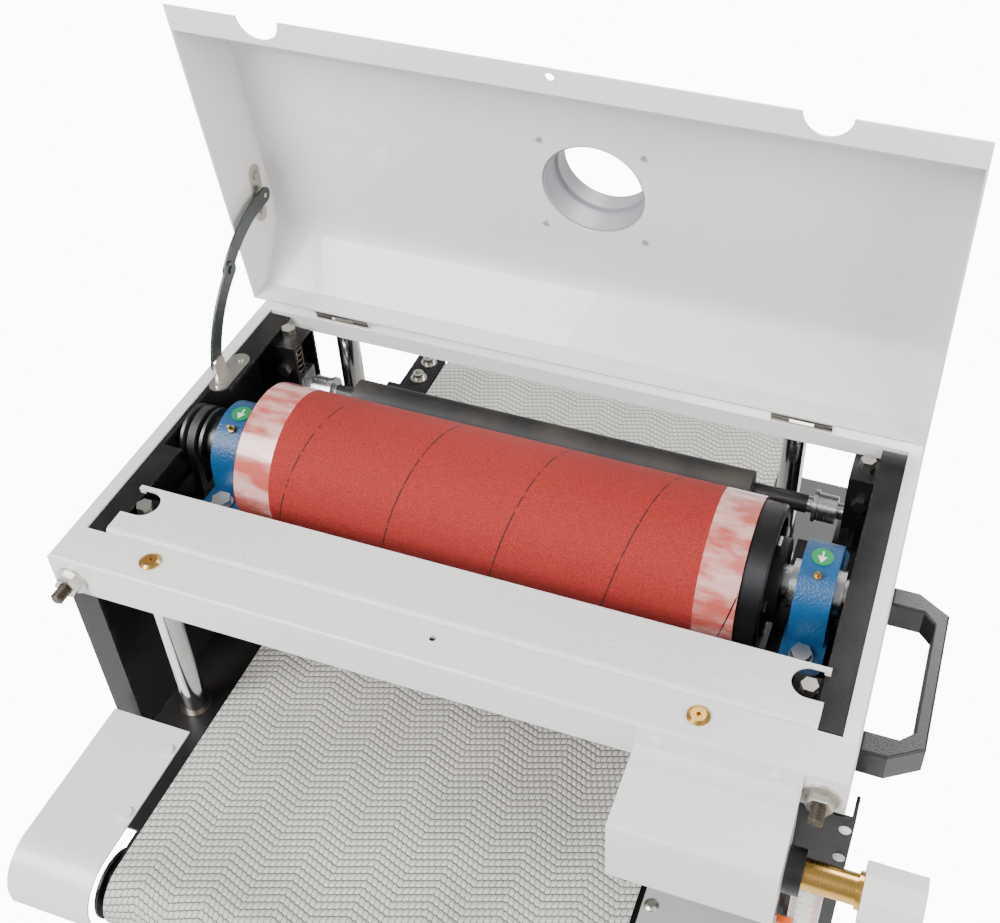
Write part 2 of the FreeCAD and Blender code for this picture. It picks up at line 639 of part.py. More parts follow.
def corner_brackets():
    """Four folded brackets with guide cheeks that hold the pressure rollers' blocks and springs."""
    brackets = []
    top, bottom = TOP - s.bracket_top, TOP - s.rail_depth + s.rail_sheet
    wall = RAIL_OUT - s.rail_sheet
    inner = s.block_centre - s.block_width / 2
    for sign in (-1, 1):
        for y in (-s.press_front, s.press_rear):
            def span(low, high):
                return (low, high) if sign > 0 else (-high, -low)
            plate = box(span(inner, wall), (y - s.bracket_half, y + s.bracket_half), (top - s.cheek, top))
            back = box(span(wall - s.cheek, wall), (y - s.bracket_half, y + s.bracket_half), (bottom, top))
            cheeks = [box(span(s.block_centre, wall), (low, low + s.cheek), (bottom, top))
                      for low in (y - s.bracket_half, y + s.bracket_half - s.cheek)]
            face = box(span(inner, wall), face_span(y), (TOP - s.face_drop, top))
            hole = rod("Z", (s.block_centre * sign, y), (top - s.cheek - 1, top + 1),
                       s.bolt_radius + s.running)
            face_hole = rod("Y", (s.block_centre * sign, TOP - s.face_bolt),
                            (face_span(y)[0] - 1, face_span(y)[1] + 1), s.bolt_radius)
            brackets.append(cut(fuse(plate, back, *cheeks, face), hole, face_hole))
    return group(*brackets)


def handle_plan(inset):
    """Outline of the handle seen from above, drawn in by the inset."""
    wall, out = HALF, HALF + s.handle_reach - inset
    c, leg, grip = s.handle_chamfer, s.handle_leg - inset * 2, s.handle_grip - inset * 2
    front, rear = s.handle_front + inset, s.handle_rear - inset
    turn = s.handle_chamfer * 0.6
    return [(wall, front), (out - c * 1.6, front), (out, front + c), (out, rear - c), (out - c * 1.6, rear),
            (wall, rear), (wall, rear - leg), (out - grip - turn, rear - leg),
            (out - grip, rear - leg - turn), (out - grip, front + leg + turn),
            (out - grip - turn, front + leg), (wall, front + leg)]


def side_handle():
    """Moulded grab handle with a hollow underside."""
    top = TOP - s.handle_top
    bottom = top - s.handle_height
    body = padded("XY", handle_plan(0), (bottom, top))
    rounded(body, s.handle_wall / 2, edges_at((Z,), (top,)))
    hollow = padded("XY", handle_plan(s.handle_wall - 1), (bottom - 1, top - s.handle_wall))
    return cut(body, cut(hollow, box((HALF - 1, HALF + s.handle_wall), (FRONT, REAR), (bottom - 2, top))))


def scale_plate():
    """Black bracket in front of the right column; it carries the height scale."""
    front = FRONT + s.column_setback - s.scale_sheet
    plate = box((s.scale_left, s.scale_right), (front, front + s.scale_sheet),
                (TOP - s.scale_bottom, TOP - s.scale_top))
    edge = box((s.scale_right - s.scale_sheet, s.scale_right), (front, front + 22),
               (TOP - s.scale_bottom, TOP - s.scale_top))
    holes = [rod("Y", (s.scale_right - 6.5, TOP - drop), (front - 1, front + s.scale_sheet + 1), 2.5)
             for drop in (60, 100)]
    return cut(fuse(plate, edge), *holes)


def height_scale():
    front = FRONT + s.column_setback - s.scale_sheet
    return box((s.scale_left + 4, s.scale_left + 30), (front - 0.8, front),
               (TOP - s.scale_bottom + 5, TOP - 142))


def trim_screws():
    """White round-head screws of the control box flange and the scale bracket."""
    screws = []
    spots = [(s.box_left + 18, TOP - 14), (s.box_right - 21, TOP - 14)]
    for x, z in spots:
        screws.append(button_head("Y", (x, z), FRONT - s.sheet, 6, 2.4, 2.4, s.sheet * 2 + 3))
    front = FRONT + s.column_setback - s.scale_sheet
    for drop in (60, 100):
        screws.append(button_head("Y", (s.scale_right - 6.5, TOP - drop), front, 5, 2.6, 2.4, 9))
    return group(*screws)


def button_head(axis, centre, face, radius, height, shank, length):
    """A domed screw whose head stands on face, towards the low end of the axis."""
    return turned(axis, centre, [
        (face - height, 0), (face - height, radius * 0.45), (face - height * 0.45, radius * 0.9),
        (face, radius), (face, shank), (face + length, shank), (face + length, 0)])


def control_box():
    """Folded housing on the front apron, with a flange above and a bearing boss on its right side."""
    back = FRONT
    out = FRONT - s.box_depth
    top, bottom = TOP - s.box_top, TOP - s.box_bottom
    profile = [(back, top), (back, bottom), (out, bottom), (out, top - 4)]
    body = padded("YZ", profile, (s.box_left, s.box_right))
    rounded(body, s.fold_radius, edges_at((Y, Z), (out, top - 4)))
    hollowed(body, s.sheet, faces_towards((0, 1, 0)))
    flange = box((s.box_left, s.box_right), (back - s.sheet, back), (top - s.sheet, top + s.box_flange))
    boss = rod("X", (s.knob_y, TOP - s.knob_drop), (s.box_right - s.sheet, s.box_right + s.boss_length),
               s.boss_radius)
    holes = [rod("Y", (x, TOP - 14), (back - s.sheet - 1, back + 1), 2.4)
             for x in (s.box_left + 18, s.box_right - 21)]
    bore = rod("X", (s.knob_y, TOP - s.knob_drop), (s.box_right - s.sheet - 1,
                                                   s.box_right + s.boss_length + 1), 6 + s.running)
    return cut(fuse(body, flange, boss), bore, *holes)


def feed_knob_sleeve():
    """Brass sleeve on the knob's spindle."""
    z = TOP - s.knob_drop
    sleeve = rod("X", (s.knob_y, z), (SLEEVE_START, KNOB_START), s.sleeve_radius)
    spindle = rod("X", (s.knob_y, z), (s.box_right - 18, SLEEVE_START + 1), 6)
    return fuse(sleeve, spindle)


def feed_knob():
    """Faceted white knob pressed on the end of its sleeve."""
    start = KNOB_START
    z = TOP - s.knob_drop
    prism = DOC.addObject("Part::Prism", "KnobBlank")
    prism.Polygon = 8
    bind(prism, "Circumradius", s.knob_radius)
    bind(prism, "Height", s.knob_length)
    along(prism, "X", (s.knob_y, z), start)
    collar = rod("X", (s.knob_y, z), (start, start + 5), s.knob_radius * 0.8)
    end = start + s.knob_length
    return cut(fuse(prism, collar), rod("X", (s.knob_y, z), (end - 3, end + 1), s.knob_radius * 0.55))


# ---------------------------------------------------------------- drum
def pillow_blocks():
    blocks = []
    foot = DRUM_Z - s.bearing_height
    for x in (s.left_bearing, s.right_bearing):
        half = s.bearing_width / 2
        base = padded("XY", [
            (x - s.bearing_base / 2, -s.bearing_length / 2), (x + s.bearing_base / 2, -s.bearing_length / 2),
            (x + s.bearing_base / 2, s.bearing_length / 2), (x - s.bearing_base / 2, s.bearing_length / 2)],
            (foot, foot + s.bearing_foot))
        corners = [(x + sx * s.bearing_base / 2, sy * s.bearing_length / 2)
                   for sx in (-1, 1) for sy in (-1, 1)]
        rounded(base, 8, edges_at((X, Y), *corners))
        skirt = s.bearing_radius + 2
        neck = padded("YZ", [(-skirt, foot + s.bearing_foot - 2), (skirt, foot + s.bearing_foot - 2),
                             (s.bearing_radius, DRUM_Z), (-s.bearing_radius, DRUM_Z)], (x - half, x + half))
        arch = rod("X", (0, DRUM_Z), (x - half, x + half), s.bearing_radius)
        bore = rod("X", (0, DRUM_Z), (x - half - 1, x + half + 1), s.collar_radius + s.running)
        holes = [rod("Z", (x, y), (foot - 1, foot + s.bearing_foot + 1), 5 + s.running)
                 for y in (-s.bearing_bolts / 2, s.bearing_bolts / 2)]
        below = box((x - half - 1, x + half + 1), (-s.bearing_radius, s.bearing_radius), (foot - 9, foot))
        blocks.append(cut(fuse(base, neck, arch), bore, below, *holes))
    return group(*blocks)


def drum_shaft():
    """Shaft with the inner rings of both bearings."""
    left = s.pulley_left - 4
    right = s.right_bearing + s.bearing_width / 2 + s.collar_length + 6
    spans = [(x - s.bearing_width / 2 - s.collar_length, x + s.bearing_width / 2 + s.collar_length)
             for x in (s.left_bearing, s.right_bearing)]
    r, ring = s.shaft_radius, s.collar_radius
    return turned("X", (0, DRUM_Z), [
        (left, 0), (left, r - 1), (left + 1, r), (spans[0][0], r), (spans[0][0], ring), (spans[0][1], ring),
        (spans[0][1], r), (spans[1][0], r), (spans[1][0], ring), (spans[1][1], ring), (spans[1][1], r),
        (right - 1, r), (right, r - 1), (right, 0)])


def drum_core():
    """Drum body with a recessed left end, a black end ring and a hub on the right."""
    left, right = s.drum_left, s.wrap_right + s.ring_width
    bore = s.shaft_radius + s.loose
    return turned("X", (0, DRUM_Z), [
        (left + s.recess_depth, bore), (left + s.recess_depth, s.recess_outer), (left, s.recess_outer),
        (left, s.drum_radius), (s.wrap_right, s.drum_radius), (s.wrap_right, s.ring_radius),
        (right - 2, s.ring_radius), (right, s.ring_radius - 2), (right, s.recess_outer),
        (right - s.recess_depth, s.recess_outer), (right - s.recess_depth, s.hub_radius),
        (right + s.hub_length, s.hub_radius), (right + s.hub_length, bore)])


def abrasive_wrap():
    return tube("X", (0, DRUM_Z), (s.drum_left + 1, s.wrap_right), s.drum_radius + s.wrap_thickness,
                s.drum_radius)


def wrap_clips():
    """Bright clamp blocks around the hub, one of them on the strip's tail."""
    start = s.wrap_right + s.ring_width - 8
    body = new_body()
    bind(body, "Placement.Base.z", DRUM_Z)
    half = s.clip_size / 2
    section = [(-half, s.hub_radius), (half, s.hub_radius), (half, s.hub_radius + s.clip_size),
               (-half, s.hub_radius + s.clip_size)]
    padded("YZ", section, (start, start + s.clip_size), body)
    pattern = body.newObject("PartDesign::PolarPattern", "Ring")
    pattern.Originals = [body.Tip]
    pattern.Axis = (origin_part(body, "X_Axis"), [""])
    pattern.Angle = 360
    bind(pattern, "Occurrences", s.clip_count)
    body.Tip = pattern
    DOC.recompute()
    return body


def grooved_pulley(centre_z, radius, bore, hub_right):
    """V-belt pulley; hub_right is where its hub ends, towards the drum or motor."""
    low, high = PULLEY_X
    lip = 3
    depth = s.belt_depth + 1
    return turned("X", (0, centre_z), [
        (low, bore), (low, radius), (low + lip, radius), (low + lip + 4, radius - depth),
        (high - lip - 4, radius - depth), (high - lip, radius), (high, radius), (high, bore + 7),
        (hub_right, bore + 7), (hub_right, bore)])


def v_belt():
    """Flat-sided loop that lies in both pulleys' grooves."""
    middle = (PULLEY_X[0] + PULLEY_X[1]) / 2
    span = (middle - 4, middle + 4)
    loops = []
    for shrink in (0, s.belt_depth + 0.7):
        upper, lower = s.drum_pulley - shrink, s.motor_pulley - shrink
        wide = span if shrink == 0 else (span[0] - 1, span[1] + 1)
        body = padded("YZ", [(-lower, s.motor_height), (lower, s.motor_height), (upper, DRUM_Z),
                             (-upper, DRUM_Z)], wide)
        loops.append(fuse(body, rod("X", (0, DRUM_Z), wide, upper),
                          rod("X", (0, s.motor_height), wide, lower)))
    return cut(loops[0], loops[1])


def drive_motor():
    """Foot-mounted motor on the cabinet's shelf: finned body, end bells, feet and terminal box."""
    low = PULLEY_X[1] + 40
    high = low + s.motor_length
    z = s.motor_height
    r = s.motor_radius
    body = turned("X", (0, z), [
        (low, s.motor_shaft + s.running), (low, r * 0.72), (low + 18, r), (high - 52, r), (high - 50, r * 0.9),
        (high - 4, r * 0.9), (high, r * 0.8), (high, s.motor_shaft + s.running)])
    floor = s.shelf_height + s.rail_sheet
    feet = [box((x, x + 40), (-r, r), (floor, floor + 8)) for x in (low + 30, high - 110)]
    webs = [box((x + 12, x + 28), (-r * 0.7, r * 0.7), (floor, z - r * 0.6)) for x in (low + 30, high - 110)]
    terminal = box((low + 60, low + 150), (-34, 34), (z + r * 0.8, z + r + 30))
    ends = rod("X", (0, z), (low - 1, high + 1), s.motor_shaft + s.running)
    return cut(fuse(body, *feet, *webs, terminal), ends)


def motor_rotor():
    """Motor shaft with its pulley."""
    low = PULLEY_X[1] + 40
    shaft = rod("X", (0, s.motor_height), (PULLEY_X[0] - 2, low + s.motor_length - 6), s.motor_shaft)
    pulley = grooved_pulley(s.motor_height, s.motor_pulley, s.motor_shaft - 1, PULLEY_X[1] + 14)
    return fuse(shaft, pulley)


def power_inlet():
    """Cable gland on the cabinet's rear wall."""
    z, x, r = s.inlet_height, s.inlet_x, s.inlet_radius
    nut = hexagon("Y", (x, z), (REAR, REAR + 9), r * 1.15)
    dome = turned("Y", (x, z), [(REAR + 8, 5), (REAR + 8, r), (REAR + s.inlet_length - 8, r),
                                (REAR + s.inlet_length, r * 0.6), (REAR + s.inlet_length, 5)])
    return cut(fuse(nut, dome), rod("Y", (x, z), (REAR - 1, REAR + s.inlet_length + 1), 5))


def switch_box():
    """Push-button box on the cabinet's front, with two button bores."""
    x = (s.switch_left, s.switch_left + s.switch_width)
    z = (s.switch_bottom, s.switch_bottom + s.switch_height)
    front = FRONT - s.switch_depth
    body = padded("XZ", [(x[0], z[0]), (x[1], z[0]), (x[1], z[1]), (x[0], z[1])], (front, FRONT))
    rounded(body, 4, edges_at((Y,), (front,)))
    bores = [rod("Y", (place, BUTTON_Z), (front - 1, front + 20), s.button_radius + s.loose)
             for place in BUTTON_X]
    return cut(body, *bores)


BUTTON_X = (s.switch_left + 28, s.switch_left + s.switch_width - 28)
BUTTON_Z = s.switch_bottom + s.switch_height / 2


def push_button(x, head_radius, thickness):
    front = FRONT - s.switch_depth
    face = front - s.button_stand
    stem = s.button_radius
    return turned("Y", (x, BUTTON_Z), [
        (face, 0), (face, head_radius - 1.5), (face + 1.5, head_radius), (face + thickness, head_radius),
        (face + thickness, stem), (front + 12, stem), (front + 12, 0)])


# ---------------------------------------------------------------- pressure rollers
def pressure_carriage(y):
    """Fixed shaft with its polished bushes and the two spring-loaded end blocks."""
    r, b = s.press_shaft, s.bush_radius
    end = s.block_centre + s.block_width / 2
    shaft = turned("X", (y, PRESS_Z), [
        (-end, 0), (-end, r), (-s.bush_start - s.bush_width, r), (-s.bush_start - s.bush_width, b),
        (-s.bush_start - 4, b), (-s.bush_start - 4, b + 2), (-s.bush_start, b + 2), (-s.bush_start, r),
        (s.bush_start, r), (s.bush_start, b + 2), (s.bush_start + 4, b + 2), (s.bush_start + 4, b),
        (s.bush_start + s.bush_width, b), (s.bush_start + s.bush_width, r), (end, r), (end, 0)])
    bottom = TOP - s.rail_depth + s.rail_sheet + s.loose
    blocks = [box(x, (y - s.block_half, y + s.block_half), (bottom, TOP - s.block_top))
              for x in both_sides(s.block_centre - s.block_width / 2, end)]
    return fuse(shaft, *blocks)


def pressure_springs(y):
    """Compression springs between the blocks and their brackets."""
    span = (TOP - s.block_top, TOP - s.bracket_top - s.cheek)
    return group(*[tube("Z", (x, y), span, s.spring_radius, s.spring_radius - s.spring_wire)
                   for x in (-s.block_centre, s.block_centre)])


def pressure_roller(y):
    return tube("X", (y, PRESS_Z), (s.press_left, s.press_left + s.press_length), s.press_radius,
                s.press_shaft + s.running)


# ---------------------------------------------------------------- table
def table_frame():
    """Bed plate, carrying plate with skirts, and the four plates that hold the belt rollers."""
    reach = s.frame_reach
    low = FRAME_TOP - s.frame_thickness
    plate = box((s.frame_left, s.frame_right), (-reach, reach), (low, FRAME_TOP))
    bed = box((BELT_X[0] + 2, BELT_X[1] - 2), (-reach + 4, reach - 4), (FRAME_TOP - 1,
                                                                      FRAME_TOP + s.bed_thickness))
    skirts = [box((x, x + s.frame_thickness), (-reach, reach), (FRAME_TOP - s.frame_skirt, FRAME_TOP))
              for x in (s.frame_left, s.frame_right - s.frame_thickness)]
    ends = []
    for x in (BELT_X[0] - 3 - s.bracket_thickness, BELT_X[1] + 3):
        for sign, roller in ((-1, s.roller_front), (1, s.roller_rear)):
            tip, root = roller + 20, reach - 70
            profile = [(root * sign, FRAME_TOP - 1), (root * sign, ROLLER_Z - 22),
                       (tip * sign, ROLLER_Z - 22), (tip * sign, ROLLER_Z + 14),
                       ((tip - 14) * sign, FRAME_TOP - 1), (reach * sign, FRAME_TOP - 1)]
            ends.append(padded("YZ", profile, (x, x + s.bracket_thickness)))
    shaft_holes = [rod("X", (y, ROLLER_Z), (s.frame_left - 1, s.frame_right + 1), s.roller_shaft + s.running)
                   for y in (-s.roller_front, s.roller_rear)]
    bush_holes = [rod("Z", (x, y), (low - 1, FRAME_TOP + 1), s.post_radius + s.bush_wall)
                  for x in POST_X for y in POST_Y]
    nut_holes = [rod("Z", (x, -s.screw_depth), (low - 1, FRAME_TOP + 1), s.nut_radius - 4)
                 for x in SCREW_X]
    tapped = [rod("Z", (x, y), (low - 1, FRAME_TOP + 1), 2.4) for x, y in cover_screw_places()]
    take_up = [box((BELT_X[0] - 39, BELT_X[0] - 3), (s.roller_rear - 78, s.roller_rear + 12),
                   (FRAME_TOP - 1, FRAME_TOP + 4))]
    return cut(fuse(plate, bed, *skirts, *ends, *take_up), *shaft_holes, *bush_holes, *nut_holes, *tapped)


def conveyor_belt():
    loops = []
    for radius, grow in ((BELT_OUT, 0), (BELT_IN, 1)):
        wide = (BELT_X[0] - grow, BELT_X[1] + grow)
        straight = box(wide, (-s.roller_front, s.roller_rear), (ROLLER_Z - radius, ROLLER_Z + radius))
        loops.append(fuse(straight, rod("X", (-s.roller_front, ROLLER_Z), wide, radius),
                          rod("X", (s.roller_rear, ROLLER_Z), wide, radius)))
    return cut(loops[0], loops[1])


def belt_roller(y, right_end):
    """Roller with its shaft ends in the table's plates."""
    low, high = BELT_X[0] + 2, BELT_X[1] - 2
    left_end = BELT_X[0] - 3 - s.bracket_thickness - 8
    return turned("X", (y, ROLLER_Z), [
        (left_end, 0), (left_end, s.roller_shaft), (low, s.roller_shaft), (low, s.roller_radius),
        (high, s.roller_radius), (high, s.roller_shaft), (right_end, s.roller_shaft), (right_end, 0)])


def lift_bushes():
    """Bushes that slide on the posts, and the nuts on the lift screws."""
    top = FRAME_TOP + s.bush_rise
    pieces = [tube("Z", (x, y), (top - s.bush_length, top), s.post_radius + s.bush_wall,
                   s.post_radius + s.running) for x in POST_X for y in POST_Y]
    low = FRAME_TOP - s.frame_thickness
    pieces += [tube("Z", (x, -s.screw_depth), (low - s.nut_length, low), s.nut_radius,
                    s.screw_radius + s.running) for x in SCREW_X]
    return group(*pieces)


def table_cover(x, open_side):
    """Folded side cover with a quarter-round nose, open below, behind and towards the belt."""
    top, front, rear = COVER_TOP, -s.cover_front, -s.cover_rear
    low = top - s.cover_depth
    body = padded("YZ", [(rear, low), (rear, top), (front, top), (front, low)], x)
    rounded(body, s.cover_nose, edges_at((Y, Z), (front, top)))
    hollowed(body, s.cover_sheet, faces_towards((0, 0, -1), (0, 1, 0), (open_side, 0, 0)))
    holes = [rod("Z", place, (top - s.cover_sheet - 1, top + 1), 2.4) for place in cover_screw_places()]
    return cut(body, *holes)


COVER_LEFT_X = (s.cover_left, s.cover_left + s.left_cover_width)
COVER_RIGHT_X = (BELT_X[1] + 5, BELT_X[1] + 5 + s.right_cover_width)


def cover_screw_places():
    return [(x, y) for x in (COVER_LEFT_X[1] - 8, COVER_RIGHT_X[0] + 8)
            for y in (-s.cover_rear - 25, -s.cover_rear - 93)]


def table_screws():
    """Screws of the two covers, and the take-up plate's two screws on their washers."""
    top = COVER_TOP
    screws = []
    for place in cover_screw_places():
        screws.append(turned("Z", place, [
            (top - s.cover_sheet - 1.5, 0), (top - s.cover_sheet - 1.5, 2.4), (top, 2.4), (top, 6.5),
            (top + 1.2, 6), (top + 2.6, 3.4), (top + 2.6, 0)]))
    plate = FRAME_TOP + 4
    for y in (s.roller_rear - 29, s.roller_rear + 2):
        screws.append(turned("Z", (BELT_X[0] - 21, y), [
            (plate, 0), (plate, 10), (plate + 1.5, 10), (plate + 1.5, 6.5), (plate + 9, 6.5),
            (plate + 9, 3), (plate + 5, 3), (plate + 5, 0)]))
    return group(*screws)


def gear_motor():
    """Right-angle gear motor under the right cover, on the drive roller's shaft."""
    x = BELT_X[1] + 3 + s.bracket_thickness
    gearbox = box((x, x + 62), (-s.roller_front - 18, -s.roller_front + 34), (ROLLER_Z - 34, ROLLER_Z + 12))
    barrel = rod("Y", (x + 31, ROLLER_Z - 9), (-s.roller_front + 34, -s.roller_front + 128), 21)
    bore = rod("X", (-s.roller_front, ROLLER_Z), (x - 1, x + 40), s.roller_shaft + s.running)
    return cut(fuse(gearbox, barrel), bore)


def height_pointer():
    """Orange tab on the right cover that reads against the scale."""
    z = COVER_TOP - 8
    x = (COVER_RIGHT_X[1] - 12, s.scale_left + 9)
    y = (-s.cover_rear, FRONT + s.column_setback - s.scale_sheet - 2.5)
    arm = box(x, (-s.cover_rear, y[1]), (z - 6, z))
    ear = box((COVER_RIGHT_X[1] - 12, COVER_RIGHT_X[1] - s.cover_sheet), (-s.cover_rear - 10, -s.cover_rear),
              (z - 6, z))
    return fuse(arm, ear)


# ---------------------------------------------------------------- table lift
def lead_screw(x, driven):
    """Lift screw with its sprocket; the driven one also has a mitre gear."""
    top = TOP - s.screw_top
    ring = s.cabinet_top - s.sprocket_drop
    r = s.screw_radius
    foot = WHEEL_Z + s.mitre_inner if driven else ring - 14
    corners = [(top, 0), (top, r), (ring, r), (ring, s.sprocket_radius), (ring - s.sprocket_thickness,
               s.sprocket_radius), (ring - s.sprocket_thickness, r + 4), (ring - 12, r + 4)]
    if driven:
        inset = 0.6
        corners += [(WHEEL_Z + s.mitre_outer, r + 4), (WHEEL_Z + s.mitre_outer, s.mitre_outer - inset),
                    (foot, s.mitre_inner - inset), (foot, 0)]
    else:
        corners += [(foot, r + 4), (foot, 0)]
    return turned("Z", (x, -s.screw_depth), corners)


def lift_chain():
    """Roller chain round both sprockets, as one closed band."""
    middle = s.cabinet_top - s.sprocket_drop - s.sprocket_thickness / 2
    z = (middle - s.chain_height / 2, middle + s.chain_height / 2)
    loops = []
    for radius, grow in ((s.sprocket_radius + s.loose + s.chain_thickness, 0),
                         (s.sprocket_radius + s.loose, 1)):
        tall = (z[0] - grow, z[1] + grow)
        straight = box(SCREW_X, (-s.screw_depth - radius, -s.screw_depth + radius), tall)
        loops.append(fuse(straight, *[rod("Z", (x, -s.screw_depth), tall, radius) for x in SCREW_X]))
    return cut(loops[0], loops[1])


def handwheel():
    """Handwheel with rim, three spokes, hub, shaft and the mitre gear at its far end."""
    x, z = SCREW_X[1], WHEEL_Z
    face = FRONT - s.wheel_stand_off
    inset = 0.6
    centre_y = -s.screw_depth
    shaft = turned("Y", (x, z), [
        (face - 12, 0), (face - 12, 19), (face + 14, 19), (face + 14, s.wheel_shaft),
        (centre_y - s.mitre_outer - 8, s.wheel_shaft), (centre_y - s.mitre_outer, s.wheel_shaft + 6),
        (centre_y - s.mitre_outer, s.mitre_outer - inset), (centre_y - s.mitre_inner, s.mitre_inner - inset),
        (centre_y - s.mitre_inner, 0)])
    rim = DOC.addObject("Part::Torus", "Rim")
    bind(rim, "Radius1", s.wheel_radius)
    bind(rim, "Radius2", s.wheel_rim)
    along(rim, "Y", (x, z), face)
    spokes = []
    for turn in range(3):
        spoke = DOC.addObject("Part::Cylinder", "Spoke")
        bind(spoke, "Radius", 6)
        bind(spoke, "Height", s.wheel_radius)
        spoke.Placement = FreeCAD.Placement(
            FreeCAD.Vector(), FreeCAD.Rotation(FreeCAD.Vector(0, 1, 0), 90 + 120 * turn))
        for name, place in zip("xyz", (x, face, z)):
            bind(spoke, f"Placement.Base.{name}", place)
        spokes.append(spoke)
    return fuse(shaft, rim, *spokes)


def handwheel_grip():
    """Free-turning grip on a stud at the rim."""
    x, z = SCREW_X[1] + s.wheel_radius, WHEEL_Z
    face = FRONT - s.wheel_stand_off - s.wheel_rim - s.loose
    r = s.grip_radius
    return turned("Y", (x, z), [
        (face, 0), (face, r * 0.8), (face - s.grip_length * 0.45, r), (face - s.grip_length + 4, r * 0.95),
        (face - s.grip_length, r * 0.6), (face - s.grip_length, 0)])


# ---------------------------------------------------------------- lid
def on_lid(piece):
    """Turn a piece made about the hinge, as on the closed lid, to the open lid's place."""
    piece.Placement = FreeCAD.Placement(FreeCAD.Vector(), FreeCAD.Rotation(FreeCAD.Vector(1, 0, 0), -1))
    bind(piece, "Placement.Base.y", s.hinge_y)
    bind(piece, "Placement.Base.z", TOP + s.hinge_rise)
    bind(piece, "Placement.Rotation.Angle", -s.lid_angle)
    return piece


LID_BASE = s.lid_gap - s.hinge_rise
LID_FRONT = FRONT + s.front_rail - s.hinge_y
LID_PANEL = s.lid_height - s.hinge_rise


def lid_pan():
    """Folded pan: sloped front, flat top panel, rounded back, side flanges and a notched front lip."""
    back = -s.lid_back
    back_top = LID_BASE + s.lid_back_height
    curve = -s.lid_curve
    corners = [(LID_FRONT, LID_BASE), (back, LID_BASE), (back, back_top), (curve, LID_PANEL),
               (LID_FRONT + s.lid_slope, LID_PANEL)]
    body = padded("YZ", corners, (-HALF, HALF))
    rounded(body, 30, edges_at((Y, Z), (curve, LID_PANEL)))
    rounded(body, 12, edges_at((Y, Z), (LID_FRONT + s.lid_slope, LID_PANEL)))
    hollowed(body, s.sheet, faces_towards((0, 0, -1)))
    lip_front = LID_FRONT - s.lip_depth
    thick = (LID_BASE, LID_BASE + s.sheet)
    lip = box((-HALF, HALF), (lip_front, LID_FRONT + s.sheet), thick)
    notches = [rod("Z", (x, lip_front), (LID_BASE - 1, LID_BASE + 8), s.lip_notch) for x in POST_X]
    hole = rod("Z", (2, lip_front + 8), (LID_BASE - 1, LID_BASE + s.sheet + 1), 4)
    mouth = rod("Z", (s.port_x, s.port_y), (LID_PANEL - 10, LID_PANEL + 5), s.port_radius)
    screw_holes = [rod("Z", spot, (LID_PANEL - 5, LID_PANEL + 1), 2.2 + s.running) for spot in port_corners()]
    return on_lid(cut(fuse(body, lip), *notches, hole, mouth, *screw_holes))


def port_corners():
    """Places of the port's screws, in the closed lid's own coordinates."""
    return [(s.port_x + side * s.port_screws, s.port_y + end * s.port_screws)
            for side in (-1, 1) for end in (-1, 1)]


def dust_port():
    """Flanged pipe on the lid's top panel, with its four screws."""
    centre = (s.port_x, s.port_y)
    z = LID_PANEL
    plate = padded("XY", [
        (s.port_x - s.port_flange, s.port_y - s.port_flange), (s.port_x + s.port_flange, s.port_y - s.port_flange),
        (s.port_x + s.port_flange, s.port_y + s.port_flange), (s.port_x - s.port_flange, s.port_y + s.port_flange)],
        (z, z + 2))
    corners = [(s.port_x + sx * s.port_flange, s.port_y + sy * s.port_flange)
               for sx in (-1, 1) for sy in (-1, 1)]
    rounded(plate, 10, edges_at((X, Y), *corners))
    inner = s.port_radius - s.port_wall
    pipe = rod("Z", centre, (z, z + s.port_length), s.port_radius)
    wide_bore = rod("Z", centre, (z - 1, z + s.port_length * 0.6), inner)
    bore = rod("Z", centre, (z - 1, z + s.port_length + 1), inner - 3)
    screws = []
    holes = []
    for spot in port_corners():
        screws.append(turned("Z", spot, [
            (z + 4.4, 0), (z + 4.4, 3), (z + 2, 5), (z + 2, 2.2), (z - s.sheet - 3, 2.2),
            (z - s.sheet - 3, 0)]))
        holes.append(rod("Z", spot, (z - 1, z + 3), 2.2))
    pipe_piece = cut(fuse(plate, pipe), wide_bore, bore, *holes)
    return on_lid(group(pipe_piece, *screws))


def hinge_bases():
    """Fixed leaves on the rear rail with their outer knuckles and pins."""
    pieces = []
    z = TOP + s.hinge_rise
    y = s.hinge_y
    for x in (s.hinge_left, s.hinge_right):
        leaf = box((x - s.leaf_half, x + s.leaf_half), (y - 3, REAR - 5), (TOP, TOP + s.sheet))
        parts = [leaf]
        for low, high in ((x - s.leaf_half, x - s.knuckle_half), (x + s.knuckle_half, x + s.leaf_half)):
            parts.append(rod("X", (y, z), (low, high), s.knuckle_radius))
            parts.append(box((low, high), (y - 3, y + 3), (TOP + 1, z)))
        parts.append(rod("X", (y, z), (x - s.leaf_half - 2, x + s.leaf_half + 2), s.pin_radius))
        pieces.append(fuse(*parts))
    return group(*pieces)


def lid_hinge_leaves():
    """Moving leaves on the lid's back wall, one knuckle each."""
    leaves = []
    inner = -s.lid_back + s.leaf_thickness
    for x in (s.hinge_left, s.hinge_right):
        plate = box((x - s.leaf_half, x + s.leaf_half), (-s.lid_back, inner),
                    (LID_BASE + 1, LID_BASE + s.lid_back_height - 1))
        span = (x - s.knuckle_half + s.loose, x + s.knuckle_half - s.loose)
        knuckle = rod("X", (0, 0), span, s.knuckle_radius)
        link = box(span, (-s.lid_back, 0), (-2, 2))
        bore = rod("X", (0, 0), (span[0] - 1, span[1] + 1), s.pin_radius + s.running)
        leaves.append(cut(fuse(plate, knuckle, link), bore))
    return on_lid(group(*leaves))


# ---------------------------------------------------------------- lid stay
STAY_X = RAIL_OUT - s.rail_sheet


